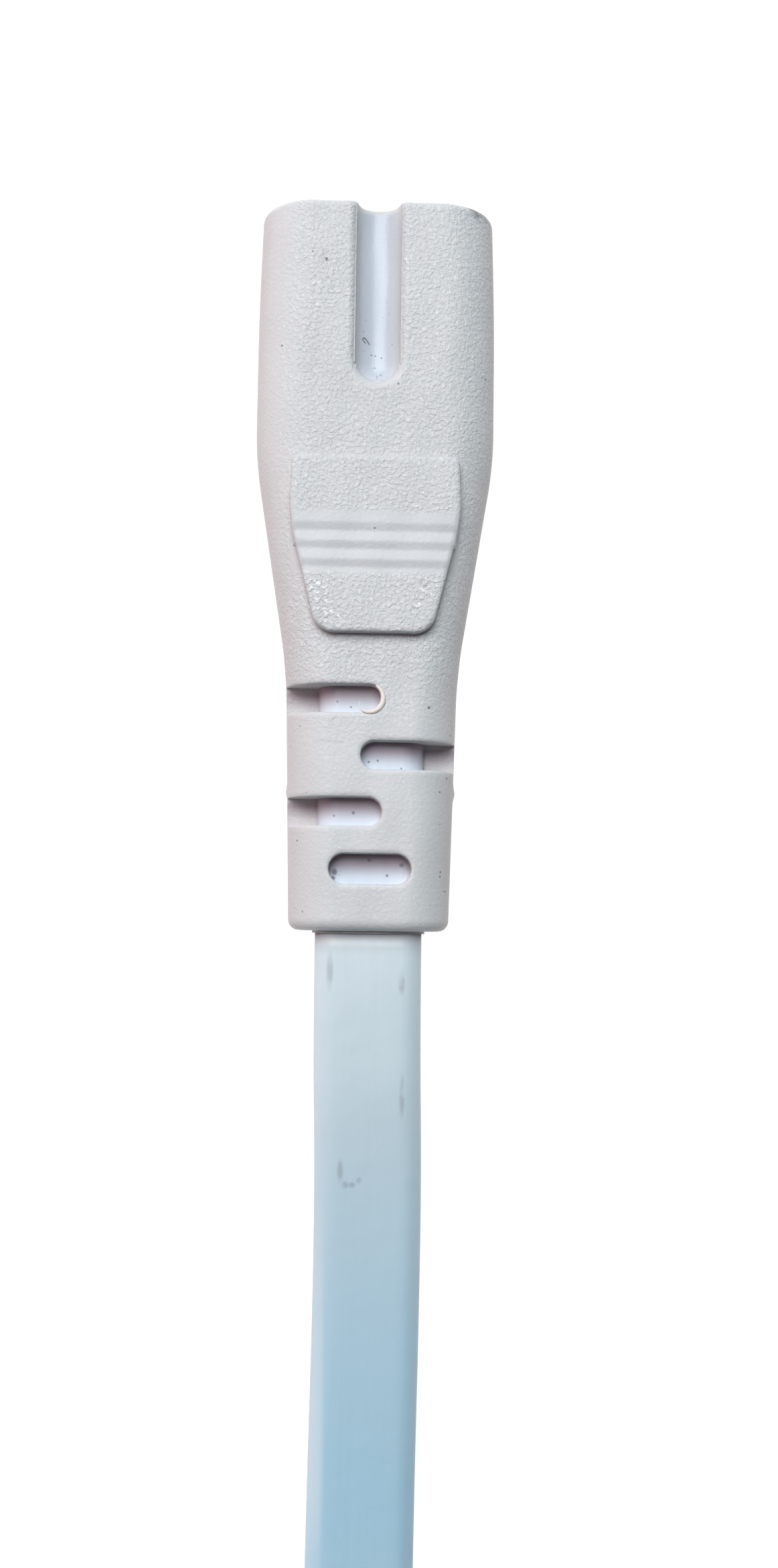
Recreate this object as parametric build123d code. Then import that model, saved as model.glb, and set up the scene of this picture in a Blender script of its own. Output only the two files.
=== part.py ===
"""Two-pole cord connector, its flat lead, and the plug on the lead's far end.

The connector lies on its broad face, +Y is its mating end and the cord leaves towards -Y.
All sizes are in millimetres, and the origin is under the middle of the connector.
"""
import os
from math import acos, cos, pi, radians, sin, sqrt, tan

from build123d import *

os.makedirs("parts", exist_ok=True)

# Connector moulding: overall
CONNECTOR_LENGTH = 49.1
HEAD_WIDTH = 15.9
HEAD_SWELL = 0.4
HEAD_THICKNESS = 7.3
RELIEF_WIDTH = 11.6
RELIEF_END_WIDTH = 10.7
RELIEF_THICKNESS = 6.2
HEAD_LENGTH = 17.1
TAPER_LENGTH = 14.6
TAPER_EASE = 0.15
FRONT_EDGE = 0.45
END_EDGE = 0.7

# Grip panel on each broad face, proud of the tapering body
PANEL_RISE = 0.25
PANEL_TOP_Y = 6.8
PANEL_LENGTH = 11.95
PANEL_TOP_WIDTH = 11.1
PANEL_WIDEST = 11.35
PANEL_BASE_WIDTH = 7.75
PANEL_SHOULDER = 4.2
PANEL_TOP_CORNER = 0.5
PANEL_BASE_CORNER = 1.1
PANEL_EDGE = 0.22
TOOTH_COUNT = 3
TOOTH_PITCH = 1.22
TOOTH_FIRST_Y = 2.25
TOOTH_FALL = 0.52
TOOTH_CREST = 0.1
TOOTH_VALLEY = 0.24

# Keying groove on each broad face of the head
GROOVE_WIDTH = 3.1
GROOVE_DEPTH = 1.6
GROOVE_LENGTH = 12.5
GROOVE_ROUND = 1.15
GROOVE_SHOULDER = 0.3

# Strain relief slots
SLOT_PITCH = 3.73
SLOT_FIRST_Y = -9.28
SLOT_WIDTH = 1.9
WINDOW_WIDTH = 2.0
SLOT_REACH = 0.78
WINDOW_LENGTH = 5.42
WEB_THICKNESS = 0.8

# Contacts and the hard block that carries them
PIN_SPACING = 8.6
PIN_DIAMETER = 2.4
ENTRY_CLEARANCE = 0.5
CONTACT_GRIP = 0.02
STRIP = 0.35
CONTACT_DEPTH = 1.7
SOCKET_LENGTH = 9.5
SPLIT_WIDTH = 0.4
SPRING_SPLIT_LENGTH = 5.7
NECK_WIDTH = 1.5
NECK_LENGTH = 1.6
CRIMP_LENGTH = 2.6
CRIMP_SEAM = 0.2
INSULATION_CRIMP_LENGTH = 2.2
CARRIER_LOBE = 5.0
CARRIER_BRIDGE = 2.6
CARRIER_LENGTH = 13.2
CAVITY_CLEARANCE = 0.08

# Flat twin cord
CORD_WIDTH = 7.1
CORD_THICKNESS = 3.9
CORD_CORNER = 1.4
CORE_DIAMETER = 2.0
CORE_SPACING = 2.9
CONDUCTOR_DIAMETER = 1.1
CORE_BEND = 3.0
CORE_STRAIGHT = 1.0
CORE_SPREAD_IN_SHEATH = 1.5
SHEATH_END_Y = -3.0
ARC_SHARE = 0.45

# Hank of cord, the turns on edge in two layers
HANK_TURNS = 3.78
TURN_PITCH = 4.0
FOLD_RADIUS = 22.2
FLANK_RADIUS = 28.0
WAIST_STRAIGHT = 4.5
HANK_START_Y = -72.0
LEAD_STUB_END_Y = -79.0
TAIL_STUB_END_Y = -84.5
TIE_WIDTH = 8.0
TIE_THICKNESS = 0.8
TIE_LAP_FROM = 5.0
TIE_LAP_TO = 3.5

# Plug on the far end
PLUG_WIDTH = 23.5
PLUG_THICKNESS = 13.0
PLUG_BODY_LENGTH = 25.0
PLUG_GRIP_WIDTH = 19.0
PLUG_GRIP_THICKNESS = 11.0
PLUG_GRIP_AT = 10.5
PLUG_NECK_WIDTH = 16.0
PLUG_NECK_THICKNESS = 9.5
PLUG_CORNER = 4.6
PLUG_NECK_CORNER = 3.6
PLUG_STRAIGHT = 5.0
PLUG_EDGE = 1.0
PLUG_RELIEF_LENGTH = 20.0
PLUG_RELIEF_WIDTH = 10.4
PLUG_RELIEF_THICKNESS = 7.6
PLUG_RELIEF_END_WIDTH = 9.2
PLUG_RELIEF_END_THICKNESS = 6.0
PLUG_RELIEF_CORNER = 2.4
PLUG_SLOT_COUNT = 4
PLUG_SLOT_PITCH = 4.0
PLUG_SLOT_WIDTH = 1.8
PLUG_SLOT_FIRST = 3.5
BLADE_SPACING = 12.7
BLADE_WIDTH = 6.35
BLADE_THICKNESS = 1.5
BLADE_LENGTH = 16.0
BLADE_ROOT = 11.0
BLADE_TIP_CORNER = 1.4
BLADE_TIP_EDGE = 0.5
BARREL_WALL = 1.05
PLUG_CARRIER_WIDTH = 18.5
PLUG_CARRIER_THICKNESS = 9.0
PLUG_CARRIER_LENGTH = 5.0
PLUG_CARRIER_CORNER = 1.5
PLUG_SHEATH_LENGTH = 20.0
PLUG_CORE_STRAIGHT = 2.0
PLUG_X = -51.0
PLUG_RELIEF_Y = -37.0

# Worked out from the sizes above
FRONT_Y = CONNECTOR_LENGTH / 2
END_Y = -CONNECTOR_LENGTH / 2
PANEL_THICKNESS = HEAD_THICKNESS + 2 * PANEL_RISE
AXIS_Z = PANEL_THICKNESS / 2 + TOOTH_CREST
PIN_X = PIN_SPACING / 2
SOCKET_RADIUS = PIN_DIAMETER / 2 - CONTACT_GRIP
SOCKET_FRONT_Y = FRONT_Y - CONTACT_DEPTH
SOCKET_BACK_Y = SOCKET_FRONT_Y - SOCKET_LENGTH
CRIMP_FRONT_Y = SOCKET_BACK_Y - NECK_LENGTH
CRIMP_BACK_Y = CRIMP_FRONT_Y - CRIMP_LENGTH
CONTACT_BACK_Y = CRIMP_BACK_Y - INSULATION_CRIMP_LENGTH
CARRIER_BACK_Y = FRONT_Y - CARRIER_LENGTH
PIN_ENTRY = PIN_DIAMETER + ENTRY_CLEARANCE
CAVITY_RADIUS = SOCKET_RADIUS + STRIP + CAVITY_CLEARANCE
BARREL_RADIUS = max(SOCKET_RADIUS, CORE_DIAMETER / 2) + STRIP
HANK_SPREAD = TURN_PITCH * HANK_TURNS / 2
HANK_HEIGHT = 2 * CORD_WIDTH
WAIST_HALF = TURN_PITCH / 2
FOLD_OUTER = FOLD_RADIUS + HANK_SPREAD + CORD_THICKNESS / 2
FLANK_OUTER = FLANK_RADIUS - HANK_SPREAD - CORD_THICKNESS / 2
HANK_X = -(FOLD_RADIUS + HANK_SPREAD)
NEAR_FOLD_Y = HANK_START_Y - FOLD_OUTER
FOLD_TO_WAIST = sqrt((FOLD_RADIUS + FLANK_RADIUS) ** 2 - (WAIST_HALF + FLANK_RADIUS) ** 2)
FAR_FOLD_Y = NEAR_FOLD_Y - 2 * (WAIST_STRAIGHT + FOLD_TO_WAIST)
PLUG_Z = PLUG_THICKNESS / 2
PLUG_BACK_Y = PLUG_RELIEF_Y + PLUG_RELIEF_LENGTH
PLUG_FACE_Y = PLUG_BACK_Y + PLUG_BODY_LENGTH
PLUG_SHEATH_END_Y = PLUG_RELIEF_Y + PLUG_SHEATH_LENGTH

# The cord's route where it isn't coiled, from the strain relief and from the hank
LEAD_ROUTE = [
    (0.0, END_Y, AXIS_Z),
    (0.0, -32.0, AXIS_Z),
    (0.26, -40.5, 2.85),
    (0.24, -50.5, 2.0),
    (0.08, -60.5, 1.96),
    (0.0, -70.0, 1.97),
    (0.0, LEAD_STUB_END_Y, 1.97),
]
TAIL_ROUTE = [
    (2 * HANK_X, TAIL_STUB_END_Y, 1.5 * CORD_WIDTH),
    (2 * HANK_X, -77.5, 1.5 * CORD_WIDTH),
    (-58.18, -69.2, 10.2),
    (-55.37, -61.3, 8.9),
    (-52.43, -53.4, 7.4),
    (PLUG_X, -45.1, PLUG_Z),
    (PLUG_X, PLUG_RELIEF_Y, PLUG_Z),
]


def save(name, shape):
    """Write one sub-part to its own file."""
    shape.label = name
    export_step(shape, f"parts/{name}.step")


def across(y):
    """A plane square to the connector's axis at y, seen from the mating end."""
    return Plane(origin=(0, y, AXIS_Z), x_dir=(-1, 0, 0), z_dir=(0, 1, 0))


def prism(sketch, length):
    """A sketch pushed a length along its own plane's normal."""
    return extrude(sketch, amount=length)


def round_section(plane, width, thickness):
    """A section with flat broad faces and full round sides."""
    return plane * SlotOverall(width, thickness)


def rolled(part):
    """The same shape turned half a turn about the connector's axis, for the other broad face."""
    return part.rotate(Axis((0, 0, AXIS_Z), (0, 1, 0)), 180)


# Connector body


def taper_share(y):
    """How much of the taper is done at y: straight between its ends, eased in and out of them."""
    run = (FRONT_Y - HEAD_LENGTH - y) / TAPER_LENGTH
    if run < TAPER_EASE:
        return max(0.0, run + TAPER_EASE) ** 2 / (4 * TAPER_EASE)
    if run > 1 - TAPER_EASE:
        return 1 - max(0.0, 1 + TAPER_EASE - run) ** 2 / (4 * TAPER_EASE)
    return run


def body_width(y):
    """Width of the moulding at y: slightly barrelled head, taper, nearly parallel strain relief."""
    along_head = min(1.0, (FRONT_Y - y) / (0.6 * HEAD_LENGTH))
    head = HEAD_WIDTH + HEAD_SWELL * sin(along_head * pi / 2)
    relief_y = FRONT_Y - HEAD_LENGTH - TAPER_LENGTH
    along_relief = max(0.0, (relief_y - y) / (relief_y - END_Y))
    relief = RELIEF_WIDTH + (RELIEF_END_WIDTH - RELIEF_WIDTH) * along_relief
    share = taper_share(y)
    return head * (1 - share) + relief * share


def body_span(stations):
    """One stretch of the moulding, through stadium sections at the stations."""
    sections = []
    for y in stations:
        thickness = HEAD_THICKNESS + (RELIEF_THICKNESS - HEAD_THICKNESS) * taper_share(y)
        sections.append(round_section(across(y), body_width(y), thickness))
    return loft(sections)


def connector_body():
    """Head, eased shoulder, straight taper, eased neck and strain relief, end to end."""
    shoulder_y = FRONT_Y - HEAD_LENGTH
    neck_y = shoulder_y - TAPER_LENGTH
    ease = TAPER_EASE * TAPER_LENGTH
    head_end, taper_start = shoulder_y + ease, shoulder_y - ease
    taper_end, relief_start = neck_y + ease, neck_y - ease
    body = body_span([FRONT_Y, (2 * FRONT_Y + head_end) / 3, (FRONT_Y + 2 * head_end) / 3, head_end])
    body += body_span([head_end, shoulder_y, taper_start])
    body += body_span([taper_start, taper_end])
    body += body_span([taper_end, neck_y, relief_start])
    body += body_span([relief_start, END_Y])
    body = fillet(body.faces().sort_by(Axis.Y)[0].edges(), END_EDGE)
    body = body - groove() - rolled(groove())
    body = fillet(groove_rims(body), GROOVE_SHOULDER)
    return fillet(body.faces().sort_by(Axis.Y)[-1].edges(), FRONT_EDGE)


def panel_outline():
    """Shield shape: nearly square shoulders, then tapering sides and large lower corners."""
    base_y = PANEL_TOP_Y - PANEL_LENGTH
    corners = [
        (-PANEL_TOP_WIDTH / 2, PANEL_TOP_Y),
        (-PANEL_WIDEST / 2, PANEL_TOP_Y - PANEL_SHOULDER),
        (-PANEL_BASE_WIDTH / 2, base_y),
        (PANEL_BASE_WIDTH / 2, base_y),
        (PANEL_WIDEST / 2, PANEL_TOP_Y - PANEL_SHOULDER),
        (PANEL_TOP_WIDTH / 2, PANEL_TOP_Y),
    ]
    outline = make_face(Polyline(*corners, close=True))
    outline = fillet(outline.vertices().group_by(Axis.Y)[0], PANEL_BASE_CORNER)
    return fillet(outline.vertices().group_by(Axis.Y)[-1], PANEL_TOP_CORNER)


def grip_panel():
    """Raised panel with saw-teeth across it, their steep sides facing the cord."""
    half = PANEL_THICKNESS / 2
    outline = panel_outline()
    blank = prism(Plane.XY.offset(AXIS_Z) * outline, half)
    blank = fillet(blank.faces().sort_by(Axis.Z)[-1].edges(), PANEL_EDGE)
    crest = half + TOOTH_CREST
    valley = half - TOOTH_VALLEY
    rise = TOOTH_PITCH - TOOTH_FALL
    first_y = TOOTH_FIRST_Y
    profile = [(first_y + rise, half)]
    for index in range(TOOTH_COUNT):
        crest_y = first_y - index * TOOTH_PITCH
        profile += [(crest_y, crest), (crest_y - TOOTH_FALL, valley)]
    last_y = first_y - (TOOTH_COUNT - 1) * TOOTH_PITCH - TOOTH_FALL - rise
    profile.append((last_y, half))
    side = Plane(origin=(0, 0, AXIS_Z), x_dir=(0, 1, 0), z_dir=(1, 0, 0))
    above = make_face(side * Polyline(*profile, (last_y, 2 * half), (first_y + rise, 2 * half), close=True))
    below = make_face(side * Polyline(*profile, (last_y, 0), (first_y + rise, 0), close=True))
    reach = PANEL_WIDEST
    inset = offset(outline, -PANEL_EDGE)
    raised = extrude(below, amount=reach / 2, both=True)
    raised &= prism(Plane.XY.offset(AXIS_Z) * inset, 2 * half)
    cut = extrude(above, amount=reach, both=True)
    return (blank + raised) - cut


def groove():
    """Keying groove in the upper broad face, open at the mating end and round at the other."""
    top = HEAD_THICKNESS / 2
    plan = Pos(0, FRONT_Y) * SlotOverall(2 * GROOVE_LENGTH, GROOVE_WIDTH, rotation=90)
    cutter = prism(Plane.XY.offset(AXIS_Z + top - GROOVE_DEPTH) * plan, 2 * GROOVE_DEPTH)
    return fillet(cutter.faces().sort_by(Axis.Z)[0].edges(), GROOVE_ROUND)


def groove_rims(body):
    """Edges where the two grooves meet the head's broad faces."""
    rims = []
    for edge in body.edges():
        box = edge.bounding_box()
        on_face = abs(abs(box.center().Z - AXIS_Z) - HEAD_THICKNESS / 2) < 0.01 and box.size.Z < 0.01
        if on_face and max(-box.min.X, box.max.X) < GROOVE_WIDTH / 2 + 0.01:
            rims.append(edge)
    return rims


def relief_slots():
    """Slots in the upper face: open left, right and left, then a closed window near the end."""
    floor = Plane.XY.offset(AXIS_Z + WEB_THICKNESS / 2)
    height = RELIEF_THICKNESS
    reach = RELIEF_WIDTH
    cutters = []
    for index, side in enumerate((-1, 1, -1)):
        y = SLOT_FIRST_Y - index * SLOT_PITCH
        length = reach + SLOT_REACH
        centre_x = -side * (SLOT_REACH - length / 2)
        plan = Pos(centre_x, y) * SlotOverall(length, SLOT_WIDTH)
        cutters.append(prism(floor * plan, height))
    window_y = SLOT_FIRST_Y - 3 * SLOT_PITCH
    window = Pos(0, window_y) * SlotOverall(WINDOW_LENGTH, WINDOW_WIDTH)
    cutters.append(prism(floor * window, height))
    return cutters


# Contacts, carrier, cord end, cores and conductors inside the connector


def carrier_section(y):
    """Two lobes round the contacts, joined by a thinner bridge under the grooves."""
    lobes = Pos(PIN_X, 0) * Circle(CARRIER_LOBE / 2) + Pos(-PIN_X, 0) * Circle(CARRIER_LOBE / 2)
    return across(y) * (lobes + Rectangle(PIN_SPACING, CARRIER_BRIDGE))


def contact_carrier():
    """Hard block flush with the mating face, with a pin entry and a wider cavity on each side."""
    block = prism(carrier_section(CARRIER_BACK_Y), CARRIER_LENGTH)
    for side in (-1, 1):
        spot = Pos(side * PIN_X, 0)
        entry = prism(across(SOCKET_FRONT_Y) * spot * Circle(PIN_ENTRY / 2), CONTACT_DEPTH)
        depth = SOCKET_FRONT_Y - CARRIER_BACK_Y
        cavity = prism(across(CARRIER_BACK_Y) * spot * Circle(CAVITY_RADIUS), depth)
        block -= entry + cavity
    return block


def tube(x, y, length, inner, wall):
    """A straight tube along the connector's axis, from y towards the mating end."""
    ring = Circle(inner + wall) - Circle(inner)
    return prism(across(y) * Pos(-x, 0) * ring, length)


def rod(x, y, length, radius):
    """A straight round bar along the connector's axis, from y towards the mating end."""
    return prism(across(y) * Pos(-x, 0) * Circle(radius), length)


def contact(side):
    """Rolled strip: split sprung socket, neck, crimp on the bare wire and crimp on its insulation."""
    x = side * PIN_X
    socket = tube(x, SOCKET_BACK_Y, SOCKET_LENGTH, SOCKET_RADIUS, STRIP)
    slit = Pos(x, SOCKET_BACK_Y + SOCKET_LENGTH / 2, AXIS_Z + SOCKET_RADIUS) * Box(
        SPLIT_WIDTH, 2 * SOCKET_LENGTH, 4 * STRIP
    )
    spring = Pos(x, SOCKET_FRONT_Y, AXIS_Z - SOCKET_RADIUS) * Box(
        SPLIT_WIDTH, 2 * SPRING_SPLIT_LENGTH, 4 * STRIP
    )
    wire = CONDUCTOR_DIAMETER / 2
    core = CORE_DIAMETER / 2
    neck = tube(x, CRIMP_FRONT_Y, NECK_LENGTH, SOCKET_RADIUS, STRIP)
    neck_top = AXIS_Z - sqrt(SOCKET_RADIUS**2 - (NECK_WIDTH / 2) ** 2)
    neck -= Pos(x, CRIMP_FRONT_Y + NECK_LENGTH / 2, neck_top + 2 * SOCKET_RADIUS) * Box(
        4 * SOCKET_RADIUS, 2 * NECK_LENGTH, 4 * SOCKET_RADIUS
    )
    wire_crimp = tube(x, CRIMP_BACK_Y, CRIMP_LENGTH, wire, SOCKET_RADIUS + STRIP - wire)
    core_crimp = tube(x, CONTACT_BACK_Y, INSULATION_CRIMP_LENGTH, core, STRIP)
    seam = Pos(x, CRIMP_FRONT_Y, AXIS_Z + SOCKET_RADIUS + STRIP) * Box(
        CRIMP_SEAM, 2 * CRIMP_LENGTH, STRIP
    )
    return (socket - slit - spring) + neck + (wire_crimp - seam) + core_crimp


def core_path(side, end_y):
    """Middle line of one core: along the cord, spreading to its contact, then to end_y."""
    near, far = side * CORE_SPACING / 2, side * PIN_X
    bend_from = SHEATH_END_Y + CORE_SPREAD_IN_SHEATH
    bend_to = CONTACT_BACK_Y - CORE_STRAIGHT
    points = [(near, END_Y, AXIS_Z), (near, bend_from, AXIS_Z), (far, bend_to, AXIS_Z), (far, end_y, AXIS_Z)]
    return FilletPolyline(*points, radius=CORE_BEND)


def along(path, section):
    """A section carried along a path from its start."""
    start = Plane(origin=path @ 0, x_dir=(1, 0, 0), z_dir=path % 0)
    return sweep(start * section, path=path)


def cord_section():
    """Flat cord section: broad faces flat, corners round."""
    return RectangleRounded(CORD_WIDTH, CORD_THICKNESS, CORD_CORNER)


body = connector_body()
panel = grip_panel()
body = body + panel + rolled(panel)

carrier_space = prism(carrier_section(CARRIER_BACK_Y), CARRIER_LENGTH)
contact_space = {}
contacts = {}
cores = {}
conductors = {}
for name, side in (("left", -1), ("right", 1)):
    contacts[name] = contact(side)
    wire_path = core_path(side, CRIMP_FRONT_Y)
    insulation_path = core_path(side, CRIMP_BACK_Y)
    conductors[name] = along(wire_path, Circle(CONDUCTOR_DIAMETER / 2))
    whole_core = along(insulation_path, Circle(CORE_DIAMETER / 2))
    cores[name] = whole_core - conductors[name]
    back = CARRIER_BACK_Y - CONTACT_BACK_Y
    contact_space[name] = rod(side * PIN_X, CONTACT_BACK_Y, back, BARREL_RADIUS) + whole_core

cord_start = across(SHEATH_END_Y) * cord_section()
cord_end = extrude(cord_start, amount=END_Y - SHEATH_END_Y)
overmould = body - carrier_space - cord_end
for name in ("left", "right"):
    overmould = overmould - contact_space[name]
for cutter in relief_slots():
    overmould = overmould - cutter - rolled(cutter)
for name in ("left", "right"):
    cord_end = cord_end - cores[name] - conductors[name]

save("connector_overmould", overmould)
save("contact_carrier", contact_carrier())
for name in ("left", "right"):
    save(f"contact_{name}", contacts[name])
    save(f"core_{name}", cores[name])
    save(f"conductor_{name}", conductors[name])
save("cord_end_in_connector", cord_end)


# Cord where it isn't coiled


def route_radii(route):
    """The largest arc that each corner's two runs leave room for."""
    points = [Vector(*point) for point in route]
    radii = []
    for before, corner, after in zip(points, points[1:], points[2:]):
        run_in, run_out = corner - before, after - corner
        half_turn = radians(run_in.get_angle(run_out)) / 2
        radii.append(ARC_SHARE * min(run_in.length, run_out.length) / tan(half_turn))
    return radii


def cord_tube(name, route):
    """Flat cord along a route of straight runs and tangent arcs, its broad faces up and down."""
    radii = route_radii(route)
    path = FilletPolyline(*route, radius=radii)
    heading = path % 0
    side = Vector(0, 0, 1).cross(heading).normalized()
    start = Plane(origin=path @ 0, x_dir=side, z_dir=heading)
    section = start * cord_section()
    tube_solid = sweep(section, path=path)
    shown = [round(radius, 1) for radius in radii]
    print(name, "radii", shown, "length", round(path.length, 1), "volume", round(tube_solid.volume, 1),
          "section x length", round(section.area * path.length, 1))
    return tube_solid


# Hank: the outer shape of the turns, with the stubs where the cord comes and goes


def fold_sketch(y):
    """Round loop at one end of the hank, from flank to flank."""
    return Pos(HANK_X, y) * Circle(FOLD_OUTER)


def waist_sketch():
    """Pinched middle of the hank: straight at the tie, flaring in an arc to each fold."""
    half = WAIST_HALF + HANK_SPREAD + CORD_THICKNESS / 2
    middle_y = (NEAR_FOLD_Y + FAR_FOLD_Y) / 2
    share = (half + FLANK_OUTER) / (FOLD_OUTER + FLANK_OUTER)
    meet = acos(share)
    meet_x, meet_y = FOLD_OUTER * cos(meet), FOLD_OUTER * sin(meet)
    fold_y = WAIST_STRAIGHT + FOLD_TO_WAIST
    top_y = fold_y - meet_y
    flank = []
    for side_x, side_y in ((1, 1), (1, -1), (-1, -1), (-1, 1)):
        centre = (side_x * (half + FLANK_OUTER), side_y * WAIST_STRAIGHT)
        swing = pi - meet / 2
        bulge = (
            centre[0] + side_x * FLANK_OUTER * cos(swing),
            centre[1] + side_y * FLANK_OUTER * sin(swing),
        )
        flank.append((side_x, side_y, bulge))
    with BuildSketch(Plane.XY) as sketch:
        with BuildLine():
            for side_x, side_y, bulge in flank:
                start = (side_x * half, side_y * WAIST_STRAIGHT)
                end = (side_x * meet_x, side_y * top_y)
                ThreePointArc(start, bulge, end)
            for side in (1, -1):
                Line((side * half, WAIST_STRAIGHT), (side * half, -WAIST_STRAIGHT))
                Line((meet_x, side * top_y), (-meet_x, side * top_y))
        make_face()
    return Pos(HANK_X, middle_y) * sketch.sketch


def block(x_range, y_range, z_range):
    """A box between two corners."""
    sizes = [high - low for low, high in (x_range, y_range, z_range)]
    middle = [(low + high) / 2 for low, high in (x_range, y_range, z_range)]
    return Pos(*middle) * Box(*sizes)


def hank():
    """Two layers of turns as one closed solid, raised by the tie's thickness where the tie passes under."""
    outline = fold_sketch(NEAR_FOLD_Y) + fold_sketch(FAR_FOLD_Y) + waist_sketch()
    turns = extrude(outline, amount=HANK_HEIGHT)
    middle_y = (NEAR_FOLD_Y + FAR_FOLD_Y) / 2
    tie_y = (middle_y - TIE_WIDTH / 2, middle_y + TIE_WIDTH / 2)
    half = WAIST_HALF + HANK_SPREAD + CORD_THICKNESS / 2
    waist_x = (HANK_X - half, HANK_X + half)
    turns -= block(waist_x, tie_y, (0, TIE_THICKNESS))
    turns += block(waist_x, tie_y, (HANK_HEIGHT, HANK_HEIGHT + TIE_THICKNESS))
    half_cord = CORD_THICKNESS / 2
    turns += block((-half_cord, half_cord), (NEAR_FOLD_Y, LEAD_STUB_END_Y), (0, CORD_WIDTH))
    tail_x = TAIL_ROUTE[0][0]
    turns += block(
        (tail_x - half_cord, tail_x + half_cord),
        (NEAR_FOLD_Y, TAIL_STUB_END_Y),
        (CORD_WIDTH, HANK_HEIGHT),
    )
    return turns


def hank_tie():
    """Strap wound once round the hank's waist, its end lapped over the top."""
    middle_y = (NEAR_FOLD_Y + FAR_FOLD_Y) / 2
    half = WAIST_HALF + HANK_SPREAD + CORD_THICKNESS / 2
    width, height = 2 * half, HANK_HEIGHT
    at = Plane(origin=(HANK_X, middle_y, TIE_THICKNESS + height / 2), x_dir=(1, 0, 0), z_dir=(0, -1, 0))
    outer = RectangleRounded(width + 2 * TIE_THICKNESS, height + 2 * TIE_THICKNESS, TIE_THICKNESS)
    ring = outer - Rectangle(width, height)
    strap = extrude(at * ring, amount=TIE_WIDTH / 2, both=True)
    lap_z = height + 2 * TIE_THICKNESS
    lap = block(
        (HANK_X - TIE_LAP_FROM, HANK_X + TIE_LAP_TO),
        (middle_y - TIE_WIDTH / 2, middle_y + TIE_WIDTH / 2),
        (lap_z, lap_z + TIE_THICKNESS),
    )
    return strap + lap


# Plug


def plug_plane(y):
    """A plane square to the plug's axis at y, seen from the blades."""
    return Plane(origin=(PLUG_X, y, PLUG_Z), x_dir=(-1, 0, 0), z_dir=(0, 1, 0))


def plug_block(y, length, width, thickness, corner):
    """A bar with rounded corners along the plug's axis, from y towards the blades."""
    return prism(plug_plane(y) * RectangleRounded(width, thickness, corner), length)


def plug_body():
    """Body narrowing to its grip, and a tapered slotted strain relief."""
    flare_y = PLUG_FACE_Y - PLUG_STRAIGHT
    body = loft(
        [
            plug_plane(PLUG_BACK_Y) * RectangleRounded(PLUG_NECK_WIDTH, PLUG_NECK_THICKNESS, PLUG_NECK_CORNER),
            plug_plane(PLUG_BACK_Y + PLUG_GRIP_AT)
            * RectangleRounded(PLUG_GRIP_WIDTH, PLUG_GRIP_THICKNESS, PLUG_CORNER),
            plug_plane(flare_y) * RectangleRounded(PLUG_WIDTH, PLUG_THICKNESS, PLUG_CORNER),
        ],
    )
    body += plug_block(flare_y, PLUG_STRAIGHT, PLUG_WIDTH, PLUG_THICKNESS, PLUG_CORNER)
    body = fillet(body.faces().sort_by(Axis.Y)[-1].edges(), PLUG_EDGE)
    relief = loft(
        [
            plug_plane(PLUG_RELIEF_Y)
            * RectangleRounded(PLUG_RELIEF_END_WIDTH, PLUG_RELIEF_END_THICKNESS, PLUG_RELIEF_CORNER),
            plug_plane(PLUG_BACK_Y)
            * RectangleRounded(PLUG_RELIEF_WIDTH, PLUG_RELIEF_THICKNESS, PLUG_RELIEF_CORNER),
        ],
        ruled=True,
    )
    return body + relief


def plug_slots():
    """Crosswise slots, by turns in the upper and the lower face of the plug's strain relief."""
    cutters = []
    for index in range(PLUG_SLOT_COUNT):
        y = PLUG_RELIEF_Y + PLUG_SLOT_FIRST + index * PLUG_SLOT_PITCH
        side = 1 if index % 2 else -1
        plan = Pos(PLUG_X, y) * SlotOverall(PLUG_RELIEF_WIDTH * 2, PLUG_SLOT_WIDTH)
        start = Plane.XY.offset(PLUG_Z + side * WEB_THICKNESS / 2)
        cutters.append(extrude(start * plan, amount=side * PLUG_THICKNESS / 2))
    return cutters


def plug_carrier():
    """Hard bridge that holds the blades, flush with the plug's face."""
    return plug_block(
        PLUG_FACE_Y - PLUG_CARRIER_LENGTH,
        PLUG_CARRIER_LENGTH,
        PLUG_CARRIER_WIDTH,
        PLUG_CARRIER_THICKNESS,
        PLUG_CARRIER_CORNER,
    )


def blade(side):
    """Flat blade with a rounded tip, a root through the carrier and a crimp behind it."""
    x = PLUG_X + side * BLADE_SPACING / 2
    root_y = PLUG_FACE_Y - BLADE_ROOT
    tip_y = PLUG_FACE_Y + BLADE_LENGTH
    flat = block(
        (x - BLADE_THICKNESS / 2, x + BLADE_THICKNESS / 2),
        (root_y, tip_y),
        (PLUG_Z - BLADE_WIDTH / 2, PLUG_Z + BLADE_WIDTH / 2),
    )
    tips = flat.faces().sort_by(Axis.Y)[-1].edges().filter_by(Axis.X)
    flat = fillet(tips, BLADE_TIP_CORNER)
    flat = fillet(flat.edges().filter_by(Axis.Z).group_by(Axis.Y)[-1], BLADE_TIP_EDGE)
    wire = CONDUCTOR_DIAMETER / 2
    barrel = prism(
        plug_plane(root_y - CRIMP_LENGTH) * Pos(-(x - PLUG_X), 0) * (Circle(wire + BARREL_WALL) - Circle(wire)),
        CRIMP_LENGTH,
    )
    return flat + barrel


def plug_core_path(side, end_y):
    """Middle line of one core in the plug, spreading from the cord to its blade."""
    near = PLUG_X + side * CORE_SPACING / 2
    far = PLUG_X + side * BLADE_SPACING / 2
    bend_from = PLUG_SHEATH_END_Y - CORE_STRAIGHT
    bend_to = PLUG_FACE_Y - BLADE_ROOT - CRIMP_LENGTH - PLUG_CORE_STRAIGHT
    points = [(near, PLUG_RELIEF_Y), (near, bend_from), (far, bend_to), (far, end_y)]
    return FilletPolyline(*[(x, y, PLUG_Z) for x, y in points], radius=CORE_BEND)


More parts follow.
